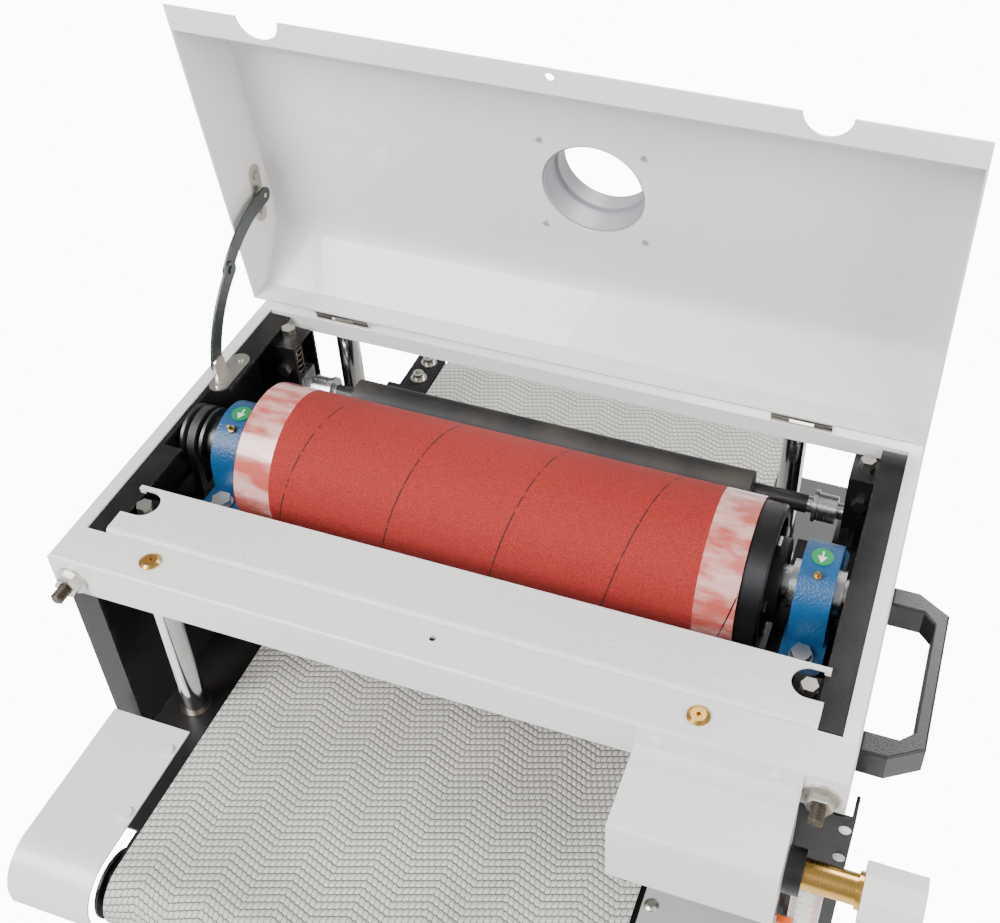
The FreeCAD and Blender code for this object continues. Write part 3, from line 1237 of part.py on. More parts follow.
def curved_bar(start, end, bow, half, x_low, thickness, bores):
    """A flat bar bent in its own plane from start to end, given as (y, z), with round ends."""
    piece = DOC.addObject("Part::Feature", "CurvedBar")
    y0, z0, y1, z1 = (number(value) for value in (*start, *end))
    span = math.hypot(y1 - y0, z1 - z0)
    bow, half = number(bow), number(half)
    radius = (span * span / 4 + bow * bow) / (2 * bow)
    across = FreeCAD.Vector(0, -(z1 - z0) / span, (y1 - y0) / span)
    middle = FreeCAD.Vector(0, (y0 + y1) / 2, (z0 + z1) / 2)
    centre = middle - across * (radius - bow)
    ends = [FreeCAD.Vector(0, y0, z0), FreeCAD.Vector(0, y1, z1)]
    rays = [(point - centre).normalize() for point in ends]
    along_bar = FreeCAD.Vector(0, y1 - y0, z1 - z0).normalize()
    arcs = []
    for reach in (radius + half, radius - half):
        arcs.append(Part.Arc(centre + rays[0] * reach, centre + across * reach, centre + rays[1] * reach))
    caps = []
    for point, ray, sign in zip(ends, rays, (-1, 1)):
        caps.append(Part.Arc(point + ray * half, point + along_bar * half * sign, point - ray * half))
    wire = Part.Wire(Part.__sortEdges__([curve.toShape() for curve in (*arcs, *caps)]))
    bar = Part.Face(wire).extrude(FreeCAD.Vector(number(thickness), 0, 0))
    for (y, z), radius_of_bore in bores:
        hole = Part.makeCylinder(number(radius_of_bore), number(thickness) + 2,
                                 FreeCAD.Vector(-1, number(y), number(z)), FreeCAD.Vector(1, 0, 0))
        bar = bar.cut(hole)
    piece.Shape = bar
    piece.Placement = FreeCAD.Placement(FreeCAD.Vector(number(x_low), 0, 0), FreeCAD.Rotation())
    bind(piece, "Placement.Base.x", x_low)
    return piece


FOOT = (s.foot_y, TOP + s.foot_rise)
ELBOW = (s.elbow_y, TOP + s.elbow_rise)
STAY_HEAD = (s.head_y, TOP + s.head_rise)
LOWER_X = -STAY_X - s.loose - s.stay_sheet
UPPER_X = LOWER_X - s.loose - s.stay_sheet
BRACKET_X = -HALF + s.sheet


def stay_base():
    """Foot plate riveted to the left rail, with an ear and its pin."""
    ear_x = (-STAY_X, -STAY_X + s.stay_sheet)
    thick = (RAIL_TOP, RAIL_TOP + s.sheet)
    plate = box((-STAY_X, -STAY_X + 20), (s.foot_y - 18, s.foot_y + 22), thick)
    ends = [rod("Z", (-STAY_X + 10, s.foot_y + place), thick, 10) for place in (-18, 22)]
    ear = box(ear_x, (s.foot_y - s.stay_half, s.foot_y + s.stay_half), (RAIL_TOP, FOOT[1]))
    crown = rod("X", FOOT, ear_x, s.stay_half)
    pin = rod("X", FOOT, (LOWER_X - 1, -STAY_X + 1), s.pin_radius)
    rivets = [rod("Z", (-STAY_X + 10, s.foot_y + place), (RAIL_TOP + s.sheet - 0.5, RAIL_TOP + s.sheet + 2), 4)
              for place in (-19, 23)]
    return fuse(plate, *ends, ear, crown, pin, *rivets)


def stay_lower_arm():
    """Lower half of the folding stay, with the elbow rivet's inner head."""
    bar = curved_bar(FOOT, ELBOW, s.lower_bow, s.stay_half, LOWER_X, s.stay_sheet,
                     [(FOOT, s.pin_radius + s.running)])
    inner = LOWER_X + s.stay_sheet
    return fuse(bar, rod("X", ELBOW, (inner - 1, inner + 1.5), 4))


def stay_upper_arm():
    """Upper half of the folding stay, with the elbow rivet's outer head; it turns on the bracket's pin."""
    bar = curved_bar(ELBOW, STAY_HEAD, s.upper_bow, s.stay_half, UPPER_X, s.stay_sheet,
                     [(STAY_HEAD, s.pin_radius + s.running)])
    return fuse(bar, rod("X", ELBOW, (UPPER_X - 1.5, UPPER_X + 1), 4))


def stay_lid_bracket():
    """Strap on the lid's left flange with a boss that meets the upper arm."""
    y, z = STAY_HEAD
    strap_x = (BRACKET_X, BRACKET_X + s.stay_sheet)
    strap = box(strap_x, (y - 8, y + 8), (z - 24, z + 26))
    ends = [rod("X", (y, z + place), strap_x, 8) for place in (-24, 26)]
    boss = fuse(rod("X", (y, z), (BRACKET_X, UPPER_X - s.loose), 5),
                rod("X", (y, z), (BRACKET_X, UPPER_X + s.stay_sheet), s.pin_radius))
    rivets = [rod("X", (y, z + place), (BRACKET_X, BRACKET_X + s.stay_sheet + 2), 4) for place in (-20, 22)]
    return fuse(strap, *ends, boss, *rivets)


# ---------------------------------------------------------------- assembly
def build():
    node("base_cabinet", base_cabinet())
    node("cabinet_door", cabinet_door())
    node("levelling_feet", levelling_feet())
    node("side_columns", side_columns())
    node("head_frame", head_frame())
    node("left_side_rail", side_rail(-1))
    node("right_side_rail", side_rail(1))
    node("front_strip", front_strip())
    node("guide_posts", guide_posts())
    node("post_plugs", post_plugs())
    node("corner_studs", corner_studs())
    node("zinc_fasteners", zinc_fasteners())
    node("corner_brackets", corner_brackets())
    node("side_handle", side_handle())
    node("scale_plate", scale_plate())
    node("height_scale", height_scale())
    node("trim_screws", trim_screws())
    node("control_box", control_box())
    node("feed_knob_sleeve", feed_knob_sleeve())
    node("feed_knob", feed_knob())
    node("pillow_blocks", pillow_blocks())
    node("drum_shaft", drum_shaft())
    node("drum_core", drum_core())
    node("abrasive_wrap", abrasive_wrap())
    node("wrap_clips", wrap_clips())
    left_ring = s.left_bearing - s.bearing_width / 2 - s.collar_length
    node("drum_pulley", grooved_pulley(DRUM_Z, s.drum_pulley, s.shaft_radius + s.loose, left_ring - 1))
    node("v_belt", v_belt())
    node("drive_motor", drive_motor())
    node("motor_rotor", motor_rotor())
    node("power_inlet", power_inlet())
    node("switch_box", switch_box())
    node("start_button", push_button(BUTTON_X[0], s.button_radius + 2, 4))
    node("stop_button", push_button(BUTTON_X[1], s.stop_radius, 4))
    for name, y in (("front", -s.press_front), ("rear", s.press_rear)):
        node(f"{name}_pressure_carriage", pressure_carriage(y))
        node(f"{name}_pressure_springs", pressure_springs(y))
        node(f"{name}_pressure_roller", pressure_roller(y))
    node("table_frame", table_frame())
    node("conveyor_belt", conveyor_belt())
    gearbox_inside = BELT_X[1] + 3 + s.bracket_thickness + 38
    node("drive_roller", belt_roller(-s.roller_front, gearbox_inside))
    node("idle_roller", belt_roller(s.roller_rear, BELT_X[1] + 3 + s.bracket_thickness + 8))
    node("lift_bushes", lift_bushes())
    node("left_table_cover", table_cover(COVER_LEFT_X, 1))
    node("right_table_cover", table_cover(COVER_RIGHT_X, -1))
    node("table_screws", table_screws())
    node("gear_motor", gear_motor())
    node("height_pointer", height_pointer())
    node("left_lead_screw", lead_screw(SCREW_X[0], False))
    node("right_lead_screw", lead_screw(SCREW_X[1], True))
    node("lift_chain", lift_chain())
    node("handwheel", handwheel())
    node("handwheel_grip", handwheel_grip())
    node("lid_pan", lid_pan())
    node("dust_port", dust_port())
    node("rear_hardware", group(hinge_bases(), stay_base()))
    node("lid_hardware", group(lid_hinge_leaves(), stay_lid_bracket()))
    node("stay_lower_arm", stay_lower_arm())
    node("stay_upper_arm", stay_upper_arm())


def checked():
    """Stop before anything is written if an object failed or a node's shape is not sound."""
    DOC.recompute()
    for item in DOC.Objects:
        if {"Invalid", "Error"} & set(item.State):
            raise RuntimeError(f"{item.Name} ({item.Label}) did not rebuild: {item.State}")
    for piece in NODES:
        if piece.Shape.isNull() or not piece.Shape.isValid():
            raise RuntimeError(f"{piece.Label} has no sound shape")


def write_nodes():
    os.makedirs("parts", exist_ok=True)
    for piece in NODES:
        piece.Shape.exportStep(f"parts/{piece.Label}.step")
        print(f"{piece.Label}: {len(piece.Shape.Solids)} solids, {piece.Shape.Volume / 1000:.1f} cm3")


build()
checked()
write_nodes()
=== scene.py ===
import json
import math
import random

import bmesh
import bpy
from bpy.props import FloatProperty, FloatVectorProperty, IntProperty, PointerProperty
from mathutils import Euler, Matrix, Vector


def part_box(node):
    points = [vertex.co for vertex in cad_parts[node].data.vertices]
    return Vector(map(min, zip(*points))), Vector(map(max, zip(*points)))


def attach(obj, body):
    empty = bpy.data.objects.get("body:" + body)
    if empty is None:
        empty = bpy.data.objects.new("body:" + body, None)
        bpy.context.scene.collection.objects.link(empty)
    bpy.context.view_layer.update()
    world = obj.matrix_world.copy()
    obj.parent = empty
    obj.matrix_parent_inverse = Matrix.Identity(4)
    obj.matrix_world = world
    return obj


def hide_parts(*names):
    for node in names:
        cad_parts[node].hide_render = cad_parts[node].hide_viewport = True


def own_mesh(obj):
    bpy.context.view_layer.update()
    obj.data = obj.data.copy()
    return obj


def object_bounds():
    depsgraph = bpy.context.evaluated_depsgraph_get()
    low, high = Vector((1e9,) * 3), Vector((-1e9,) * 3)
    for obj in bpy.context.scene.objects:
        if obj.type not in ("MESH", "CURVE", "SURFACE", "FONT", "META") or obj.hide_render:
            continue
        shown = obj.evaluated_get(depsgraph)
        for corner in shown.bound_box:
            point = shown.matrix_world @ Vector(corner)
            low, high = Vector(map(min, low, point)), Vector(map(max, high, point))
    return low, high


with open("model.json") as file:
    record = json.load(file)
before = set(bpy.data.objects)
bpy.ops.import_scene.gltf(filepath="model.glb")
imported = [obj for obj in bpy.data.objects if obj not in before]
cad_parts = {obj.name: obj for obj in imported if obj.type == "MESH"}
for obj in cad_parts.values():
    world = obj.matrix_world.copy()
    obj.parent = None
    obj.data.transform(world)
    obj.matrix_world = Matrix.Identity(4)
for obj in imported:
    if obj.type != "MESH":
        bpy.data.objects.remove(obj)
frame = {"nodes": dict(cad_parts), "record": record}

bl_info = {
    "name": "Drum sander surfaces and stage",
    "version": (1, 0, 0),
    "blender": (4, 5, 0),
    "location": "3D View > Sidebar > Drum sander",
    "description": "Finishes the drum sander, adds its small visible parts and sets up a studio",
    "category": "Object",
}

# ---------------------------------------------------------------- places taken from the frame (metres)
CAD_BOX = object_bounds()
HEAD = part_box("head_frame")
HEAD_X = (HEAD[0].x + HEAD[1].x) / 2
HEAD_TOP = HEAD[1].z
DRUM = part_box("drum_core")
DRUM_AXIS = Vector((0, (DRUM[0].y + DRUM[1].y) / 2, (DRUM[0].z + DRUM[1].z) / 2))
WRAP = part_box("abrasive_wrap")
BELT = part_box("conveyor_belt")
SEAM_START = 0.073          # from the wrap's left end to a seam, at the drum's top
GUARD_SETBACK = 0.0084      # from the belt's left edge to the middle of the roller's guard
EYE = (0.3114, -0.7846, 1.9395)
EYE_DOWN, EYE_LEFT, EYE_ROLL = (math.radians(angle) for angle in (41.08, 18.43, 0.25))
EYE_SHIFT = (-0.0977, -0.0810)
LID_HINGE = Vector((HEAD_X, 0.175, HEAD_TOP + 0.010))
LID_ANGLE = math.radians(-83)


# ---------------------------------------------------------------- settings shown in the sidebar
class SANDER_PG_finish(bpy.types.PropertyGroup):
    """How worn and dusty the surfaces are"""
    wear: FloatProperty(name="Edge wear", description="Strength of the worn paint on edges",
                        default=0.35, min=0, max=1, subtype="FACTOR")
    dust: FloatProperty(name="Dust", description="Amount of pale dust on upward faces",
                        default=0.07, min=0, max=1, subtype="FACTOR")
    grain: FloatProperty(name="Paint grain", description="Size of the paint's fine texture",
                         default=0.0022, min=0.0001, max=0.01, unit="LENGTH")


class SANDER_PG_drum(bpy.types.PropertyGroup):
    """How the abrasive strip is wound"""
    pitch: FloatProperty(name="Strip pitch", description="Distance between the strip's seams along the drum",
                         default=0.105, min=0.02, max=0.3, unit="LENGTH")
    seam: FloatProperty(name="Seam width", description="Width of the line between two turns of the strip",
                        default=0.0007, min=0.0002, max=0.01, unit="LENGTH")
    tape: FloatProperty(name="Tape width", description="Width of the clear tape at each end",
                        default=0.036, min=0, max=0.1, unit="LENGTH")


class SANDER_PG_belt(bpy.types.PropertyGroup):
    """Weave of the feed belt"""
    rib: FloatProperty(name="Rib pitch", description="Distance between the belt's rows of nubs",
                       default=0.0068, min=0.001, max=0.02, unit="LENGTH")
    nub: FloatProperty(name="Nub pitch", description="Distance between two nubs of a row",
                       default=0.0052, min=0.001, max=0.02, unit="LENGTH")
    zone: FloatProperty(name="Zone width", description="Width of one herringbone zone",
                        default=0.030, min=0.004, max=0.1, unit="LENGTH")


class SANDER_PG_springs(bpy.types.PropertyGroup):
    """Coil springs over the pressure rollers' blocks"""
    turns: IntProperty(name="Turns", description="Number of turns in each spring", default=7, min=3, max=20)
    wire: FloatProperty(name="Wire radius", description="Radius of the spring wire",
                        default=0.0012, min=0.0003, max=0.003, unit="LENGTH")


class SANDER_PG_studs(bpy.types.PropertyGroup):
    """Threaded studs at the head's corners"""
    pitch: FloatProperty(name="Thread pitch", description="Distance between two ridges of the thread",
                         default=0.0022, min=0.0005, max=0.005, unit="LENGTH")


class SANDER_PG_marks(bpy.types.PropertyGroup):
    """Marks of the height scale and the bearing stickers"""
    step: FloatProperty(name="Mark step", description="Distance between two marks of the scale",
                        default=0.002, min=0.001, max=0.01, unit="LENGTH")
    sticker: FloatProperty(name="Sticker radius", description="Radius of the round sticker on a bearing",
                           default=0.0095, min=0.002, max=0.02, unit="LENGTH")


class SANDER_PG_stage(bpy.types.PropertyGroup):
    """Floor, lights and camera"""
    floor: FloatVectorProperty(name="Floor colour", description="Colour of the plain floor",
                               default=(0.95, 0.95, 0.95), min=0, max=1, subtype="COLOR")
    key: FloatProperty(name="Key light", description="Power of the key light",
                       default=230, min=0, max=1000, unit="POWER")
    sky: FloatProperty(name="Sky", description="Brightness of the even light from all sides",
                       default=0.45, min=0, max=5)
    backdrop: FloatProperty(name="Backdrop", description="Brightness of the background as the camera sees it",
                            default=12.0, min=0, max=30)
    lens: FloatProperty(name="Focal length", description="Focal length of the camera",
                        default=48.24, min=10, max=300, subtype="DISTANCE_CAMERA")


# ---------------------------------------------------------------- shader node helpers
class Nodes:
    """Short names for building a node tree."""

    def __init__(self, tree):
        self.tree = tree

    def new(self, kind, inputs=None, **settings):
        made = self.tree.nodes.new(f"ShaderNode{kind}")
        for name, value in settings.items():
            setattr(made, name, value)
        for socket, value in (inputs or {}).items():
            self.feed(made.inputs[socket], value)
        return made

    def feed(self, socket, value):
        if isinstance(value, bpy.types.NodeSocket):
            self.tree.links.new(value, socket)
        else:
            socket.default_value = value

    def maths(self, operation, first, second=0.0, clamp=False):
        made = self.new("Math", {0: first, 1: second}, operation=operation)
        made.use_clamp = clamp
        return made.outputs[0]

    def mix(self, factor, first, second):
        made = self.new("Mix", {}, data_type="RGBA")
        for socket, value in ((made.inputs[0], factor), (made.inputs[6], first), (made.inputs[7], second)):
            self.feed(socket, value)
        return made.outputs[2]

    def ramp(self, value, low, high):
        """Smooth step from low to high."""
        made = self.new("MapRange", {0: value, 1: low, 2: high}, interpolation_type="SMOOTHSTEP")
        return made.outputs[0]

    def noise(self, vector, scale, detail=3.0):
        made = self.new("TexNoise", {"Vector": vector, "Scale": scale, "Detail": detail})
        return made.outputs["Fac"]

    def shared(self, name, **inputs):
        made = self.tree.nodes.new("ShaderNodeGroup")
        made.node_tree = bpy.data.node_groups[name]
        for socket, value in inputs.items():
            self.feed(made.inputs[socket], value)
        return made.outputs


def shared_group(name, inputs, outputs):
    """A new node group; inputs are (name, default) and outputs are names of float sockets."""
    tree = bpy.data.node_groups.new(name, "ShaderNodeTree")
    for socket, default in inputs:
        made = tree.interface.new_socket(name=socket, in_out="INPUT", socket_type="NodeSocketFloat")
        made.default_value = default
    for socket in outputs:
        tree.interface.new_socket(name=socket, in_out="OUTPUT", socket_type="NodeSocketFloat")
    nodes = Nodes(tree)
    start = tree.nodes.new("NodeGroupInput")
    end = tree.nodes.new("NodeGroupOutput")
    return nodes, start.outputs, end.inputs


def edge_wear_group():
    nodes, given, result = shared_group("Edge wear", (("Radius", 0.0015), ("Amount", 0.5)), ("Mask",))
    bevel = nodes.new("Bevel", {"Radius": given["Radius"]}, samples=4)
    facing = nodes.new("NewGeometry")
    turn = nodes.new("VectorMath", {0: bevel.outputs[0], 1: facing.outputs["Normal"]},
                     operation="DOT_PRODUCT")
    edge = nodes.ramp(turn.outputs["Value"], 0.995, 0.86)
    place = nodes.new("TexCoord").outputs["Object"]
    broken = nodes.ramp(nodes.noise(place, 140.0, 5.0), 0.50, 0.62)
    nodes.feed(result["Mask"],
               nodes.maths("MULTIPLY", nodes.maths("MULTIPLY", edge, broken), given["Amount"]))


def dust_group():
    nodes, given, result = shared_group("Settled dust", (("Amount", 0.3),), ("Mask",))
    up = nodes.new("SeparateXYZ", {0: nodes.new("NewGeometry").outputs["Normal"]}).outputs["Z"]
    place = nodes.new("TexCoord").outputs["Object"]
    patch = nodes.ramp(nodes.noise(place, 18.0, 6.0), 0.30, 0.80)
    flat = nodes.ramp(up, 0.2, 1.0)
    nodes.feed(result["Mask"], nodes.maths("MULTIPLY", nodes.maths("MULTIPLY", patch, flat), given["Amount"]))


def paint_grain_group():
    nodes, given, result = shared_group("Paint grain", (("Size", 0.001),), ("Height", "Mottle"))
    place = nodes.new("TexCoord").outputs["Object"]
    scale = nodes.maths("DIVIDE", 1.0, given["Size"])
    nodes.feed(result["Height"], nodes.noise(place, scale, 2.0))
    nodes.feed(result["Mottle"], nodes.noise(place, 9.0, 4.0))


def brushed_group():
    nodes, given, result = shared_group("Turned grain", (("Scale", 900.0),), ("Height",))
    place = nodes.new("TexCoord").outputs["Object"]
    squeeze = nodes.new("Mapping", {"Vector": place, "Scale": (1.0, 0.04, 0.04)}, vector_type="POINT")
    nodes.feed(result["Height"], nodes.noise(squeeze.outputs[0], given["Scale"], 3.0))


def winding_group():
    """Seams of a strip wound round the drum, and the tape at its ends."""
    nodes, given, result = shared_group(
        "Wound strip", (("Pitch", 0.1), ("Seam", 0.0004), ("Tape", 0.036)), ("Seam", "Tape", "Grit"))
    place = nodes.new("TexCoord").outputs["Object"]
    parts = nodes.new("SeparateXYZ", {0: place}).outputs
    angle = nodes.maths("ARCTAN2", nodes.maths("SUBTRACT", parts["Y"], DRUM_AXIS.y),
                        nodes.maths("SUBTRACT", parts["Z"], DRUM_AXIS.z))
    turns = nodes.maths("DIVIDE", angle, math.tau)
    along = nodes.maths("SUBTRACT", parts["X"], WRAP[0].x + SEAM_START)
    wound = nodes.maths("SUBTRACT", nodes.maths("DIVIDE", along, given["Pitch"]), turns)
    middle = nodes.maths("ABSOLUTE", nodes.maths("SUBTRACT", nodes.maths("FRACT", wound), 0.5))
    away = nodes.maths("MULTIPLY", nodes.maths("SUBTRACT", 0.5, middle), given["Pitch"])
    nodes.feed(result["Seam"], nodes.maths("LESS_THAN", away, given["Seam"]))
    low = nodes.maths("LESS_THAN", parts["X"], nodes.maths("ADD", WRAP[0].x, given["Tape"]))
    high = nodes.maths("GREATER_THAN", parts["X"], nodes.maths("SUBTRACT", WRAP[1].x, given["Tape"]))
    nodes.feed(result["Tape"], nodes.maths("MAXIMUM", low, high))
    nodes.feed(result["Grit"], nodes.noise(place, 1300.0, 2.0))


def herringbone_group():
    """Rows of nubs that run across the belt in flat zigzags."""
    nodes, given, result = shared_group(
        "Herringbone weave", (("Rib", 0.0066), ("Nub", 0.004), ("Zone", 0.034)), ("Height", "Painted gap shade"))
    place = nodes.new("TexCoord").outputs["Object"]
    parts = nodes.new("SeparateXYZ", {0: place}).outputs
    zones = nodes.maths("DIVIDE", parts["X"], given["Zone"])
    reach = nodes.maths("MULTIPLY", given["Zone"], 0.34)
    zigzag = nodes.maths("MULTIPLY", nodes.maths("PINGPONG", zones, 1.0), reach)
    radius = (BELT[1].z - BELT[0].z) / 2
    straight = nodes.maths("MINIMUM", nodes.maths("MAXIMUM", parts["Y"], BELT[0].y + radius),
                           BELT[1].y - radius)
    around = nodes.maths("ARCTAN2", nodes.maths("SUBTRACT", parts["Y"], straight),
                         nodes.maths("SUBTRACT", parts["Z"], BELT[0].z + radius))
    lengthwise = nodes.maths("ADD", straight, nodes.maths("MULTIPLY", around, radius))
    rows = nodes.maths("DIVIDE", nodes.maths("ADD", lengthwise, zigzag), given["Rib"])
    ridge = nodes.maths("ABSOLUTE", nodes.maths("SINE", nodes.maths("MULTIPLY", rows, math.pi)))
    step = nodes.maths("MULTIPLY", nodes.maths("FLOOR", rows), 0.5)
    beads = nodes.maths("ADD", nodes.maths("DIVIDE", parts["X"], given["Nub"]), step)
    bead = nodes.maths("ABSOLUTE", nodes.maths("SINE", nodes.maths("MULTIPLY", beads, math.pi)))
    nub = nodes.maths("MULTIPLY", nodes.maths("POWER", ridge, 0.55), nodes.maths("POWER", bead, 0.4))
    nodes.feed(result["Height"], nub)
    # Painted shade: darker where the nubs are low, in the gaps between their rows
    nodes.feed(result["Painted gap shade"], nodes.ramp(nub, 0.12, 0.55))


SHARED_GROUPS = (edge_wear_group, dust_group, paint_grain_group, brushed_group, winding_group,
                 herringbone_group)


# ---------------------------------------------------------------- materials
def new_material(name):
    """A material with an empty tree, its Principled shader and the tree's short names."""
    made = bpy.data.materials.new(name)
    made.use_nodes = True
    tree = made.node_tree
    tree.nodes.clear()
    nodes = Nodes(tree)
    shader = nodes.new("BsdfPrincipled")
    end = nodes.new("OutputMaterial")
    tree.links.new(shader.outputs[0], end.inputs[0])
    return made, nodes, shader


def bumped(nodes, shader, height, distance, strength=1.0):
    bump = nodes.new("Bump", {"Height": height, "Strength": strength, "Distance": distance})
    nodes.feed(shader.inputs["Normal"], bump.outputs[0])


DUST_COLOUR = (0.62, 0.52, 0.38, 1)


def paint(name, colour, roughness, wear=0.0, worn_colour=(0.25, 0.25, 0.25, 1), grain=0.00012, dust=1.0,
          coat=0.0, gloss=0.5):
    """Enamel: fine grain, slight mottling, worn edges and settled dust."""
    settings = bpy.context.scene.sander_finish
    made, nodes, shader = new_material(name)
    surface = nodes.shared("Paint grain", Size=settings.grain)
    shade = [part * 0.90 for part in colour]
    base = nodes.mix(surface["Mottle"], (*shade, 1), (*colour, 1))
    if wear:
        worn = nodes.shared("Edge wear", Amount=wear * settings.wear)["Mask"]
        base = nodes.mix(worn, base, worn_colour)
    dusty = nodes.shared("Settled dust", Amount=settings.dust * dust)["Mask"]
    nodes.feed(shader.inputs["Base Color"], nodes.mix(dusty, base, DUST_COLOUR))
    rough = nodes.maths("ADD", nodes.maths("MULTIPLY", surface["Mottle"], 0.10), roughness - 0.05)
    nodes.feed(shader.inputs["Roughness"],
               nodes.maths("ADD", rough, nodes.maths("MULTIPLY", dusty, 0.4), True))
    shader.inputs["Coat Weight"].default_value = coat
    shader.inputs["Specular IOR Level"].default_value = gloss
    bumped(nodes, shader, surface["Height"], grain)
    return made


def metal(name, colour, roughness, grain=0.00004, scale=900.0, dust=0.4):
    """Bare metal with a fine turned or rolled grain."""
    settings = bpy.context.scene.sander_finish
    made, nodes, shader = new_material(name)
    surface = nodes.shared("Paint grain", Size=0.004)
    turned = nodes.shared("Turned grain", Scale=scale)["Height"]
    shade = [part * 0.82 for part in colour]
    dusty = nodes.shared("Settled dust", Amount=settings.dust * dust)["Mask"]
    base = nodes.mix(surface["Mottle"], (*shade, 1), (*colour, 1))
    nodes.feed(shader.inputs["Base Color"], nodes.mix(dusty, base, DUST_COLOUR))
    shader.inputs["Metallic"].default_value = 1.0
    nodes.feed(shader.inputs["Roughness"],
               nodes.maths("ADD", nodes.maths("MULTIPLY", turned, 0.12), roughness))
    bumped(nodes, shader, turned, grain)
    return made


def soft(name, colour, roughness, grain=0.0003, size=0.0012, dust=0.8):
    """Plastic or rubber with a fine moulded texture."""
    settings = bpy.context.scene.sander_finish
    made, nodes, shader = new_material(name)
    surface = nodes.shared("Paint grain", Size=size)
    dusty = nodes.shared("Settled dust", Amount=settings.dust * dust)["Mask"]
    shade = [part * 0.88 for part in colour]
    base = nodes.mix(surface["Mottle"], (*shade, 1), (*colour, 1))
    nodes.feed(shader.inputs["Base Color"], nodes.mix(dusty, base, DUST_COLOUR))
    nodes.feed(shader.inputs["Roughness"],
               nodes.maths("ADD", nodes.maths("MULTIPLY", surface["Mottle"], 0.10), roughness - 0.05))
    bumped(nodes, shader, surface["Height"], grain)
    return made


def abrasive(name):
    """Red-brown cloth with seams; clear tape makes both ends glossy, with painted highlight streaks on the
    tape.
    """
    settings = bpy.context.scene.sander_drum
    made, nodes, shader = new_material(name)
    strip = nodes.shared("Wound strip", Pitch=settings.pitch, Seam=settings.seam, Tape=settings.tape)
    grit = nodes.ramp(strip["Grit"], 0.35, 0.65)
    cloth = nodes.mix(grit, (0.17, 0.005, 0.003, 1), (0.38, 0.020, 0.011, 1))
    place = nodes.new("TexCoord").outputs["Object"]
    streaks = nodes.new("Mapping", {"Vector": place, "Scale": (1.0, 2.5, 2.5)}, vector_type="POINT")
    crinkle = nodes.noise(streaks.outputs[0], 26.0, 4.0)
    # Painted highlight: pale streaks on the tape stand in for the light its glossy film catches
    pale = nodes.maths("MULTIPLY", nodes.ramp(crinkle, 0.40, 0.66), 0.50)
    tape_and_painted_highlight = nodes.mix(pale, (0.46, 0.085, 0.065, 1), (0.84, 0.66, 0.61, 1))
    taped = nodes.mix(strip["Tape"], cloth, tape_and_painted_highlight)
    cut_line = nodes.maths("MULTIPLY", strip["Seam"], nodes.ramp(nodes.noise(place, 120.0, 3.0), 0.35, 0.50))
    nodes.feed(shader.inputs["Base Color"], nodes.mix(cut_line, taped, (0.025, 0.003, 0.002, 1)))
    nodes.feed(shader.inputs["Roughness"],
               nodes.maths("SUBTRACT", 0.80, nodes.maths("MULTIPLY", strip["Tape"], 0.58)))
    nodes.feed(shader.inputs["Coat Weight"], nodes.maths("MULTIPLY", strip["Tape"], 0.9))
    shader.inputs["Coat Roughness"].default_value = 0.12
    rough = nodes.maths("MULTIPLY", strip["Grit"], nodes.maths("SUBTRACT", 1.0, strip["Tape"]))
    wrinkled = nodes.maths("MULTIPLY", crinkle, nodes.maths("MULTIPLY", strip["Tape"], 2.0))
    bumped(nodes, shader, nodes.maths("ADD", rough, wrinkled), 0.0005)
    return made


def woven_belt(name):
    """Light grey belt: pale nubs, with painted shade in the gaps between their rows."""
    settings = bpy.context.scene.sander_belt
    made, nodes, shader = new_material(name)
    weave = nodes.shared("Herringbone weave", Rib=settings.rib, Nub=settings.nub, Zone=settings.zone)
    soil = nodes.ramp(nodes.noise(nodes.new("TexCoord").outputs["Object"], 7.0, 5.0), 0.3, 0.75)
    nub = nodes.mix(soil, (0.50, 0.49, 0.45, 1), (0.62, 0.61, 0.57, 1))
    # Painted shade: dark colour in the gaps between the rows of nubs
    nodes.feed(shader.inputs["Base Color"], nodes.mix(weave["Painted gap shade"], (0.09, 0.088, 0.08, 1), nub))
    shader.inputs["Roughness"].default_value = 0.6
    bumped(nodes, shader, weave["Height"], 0.0014)
    return made


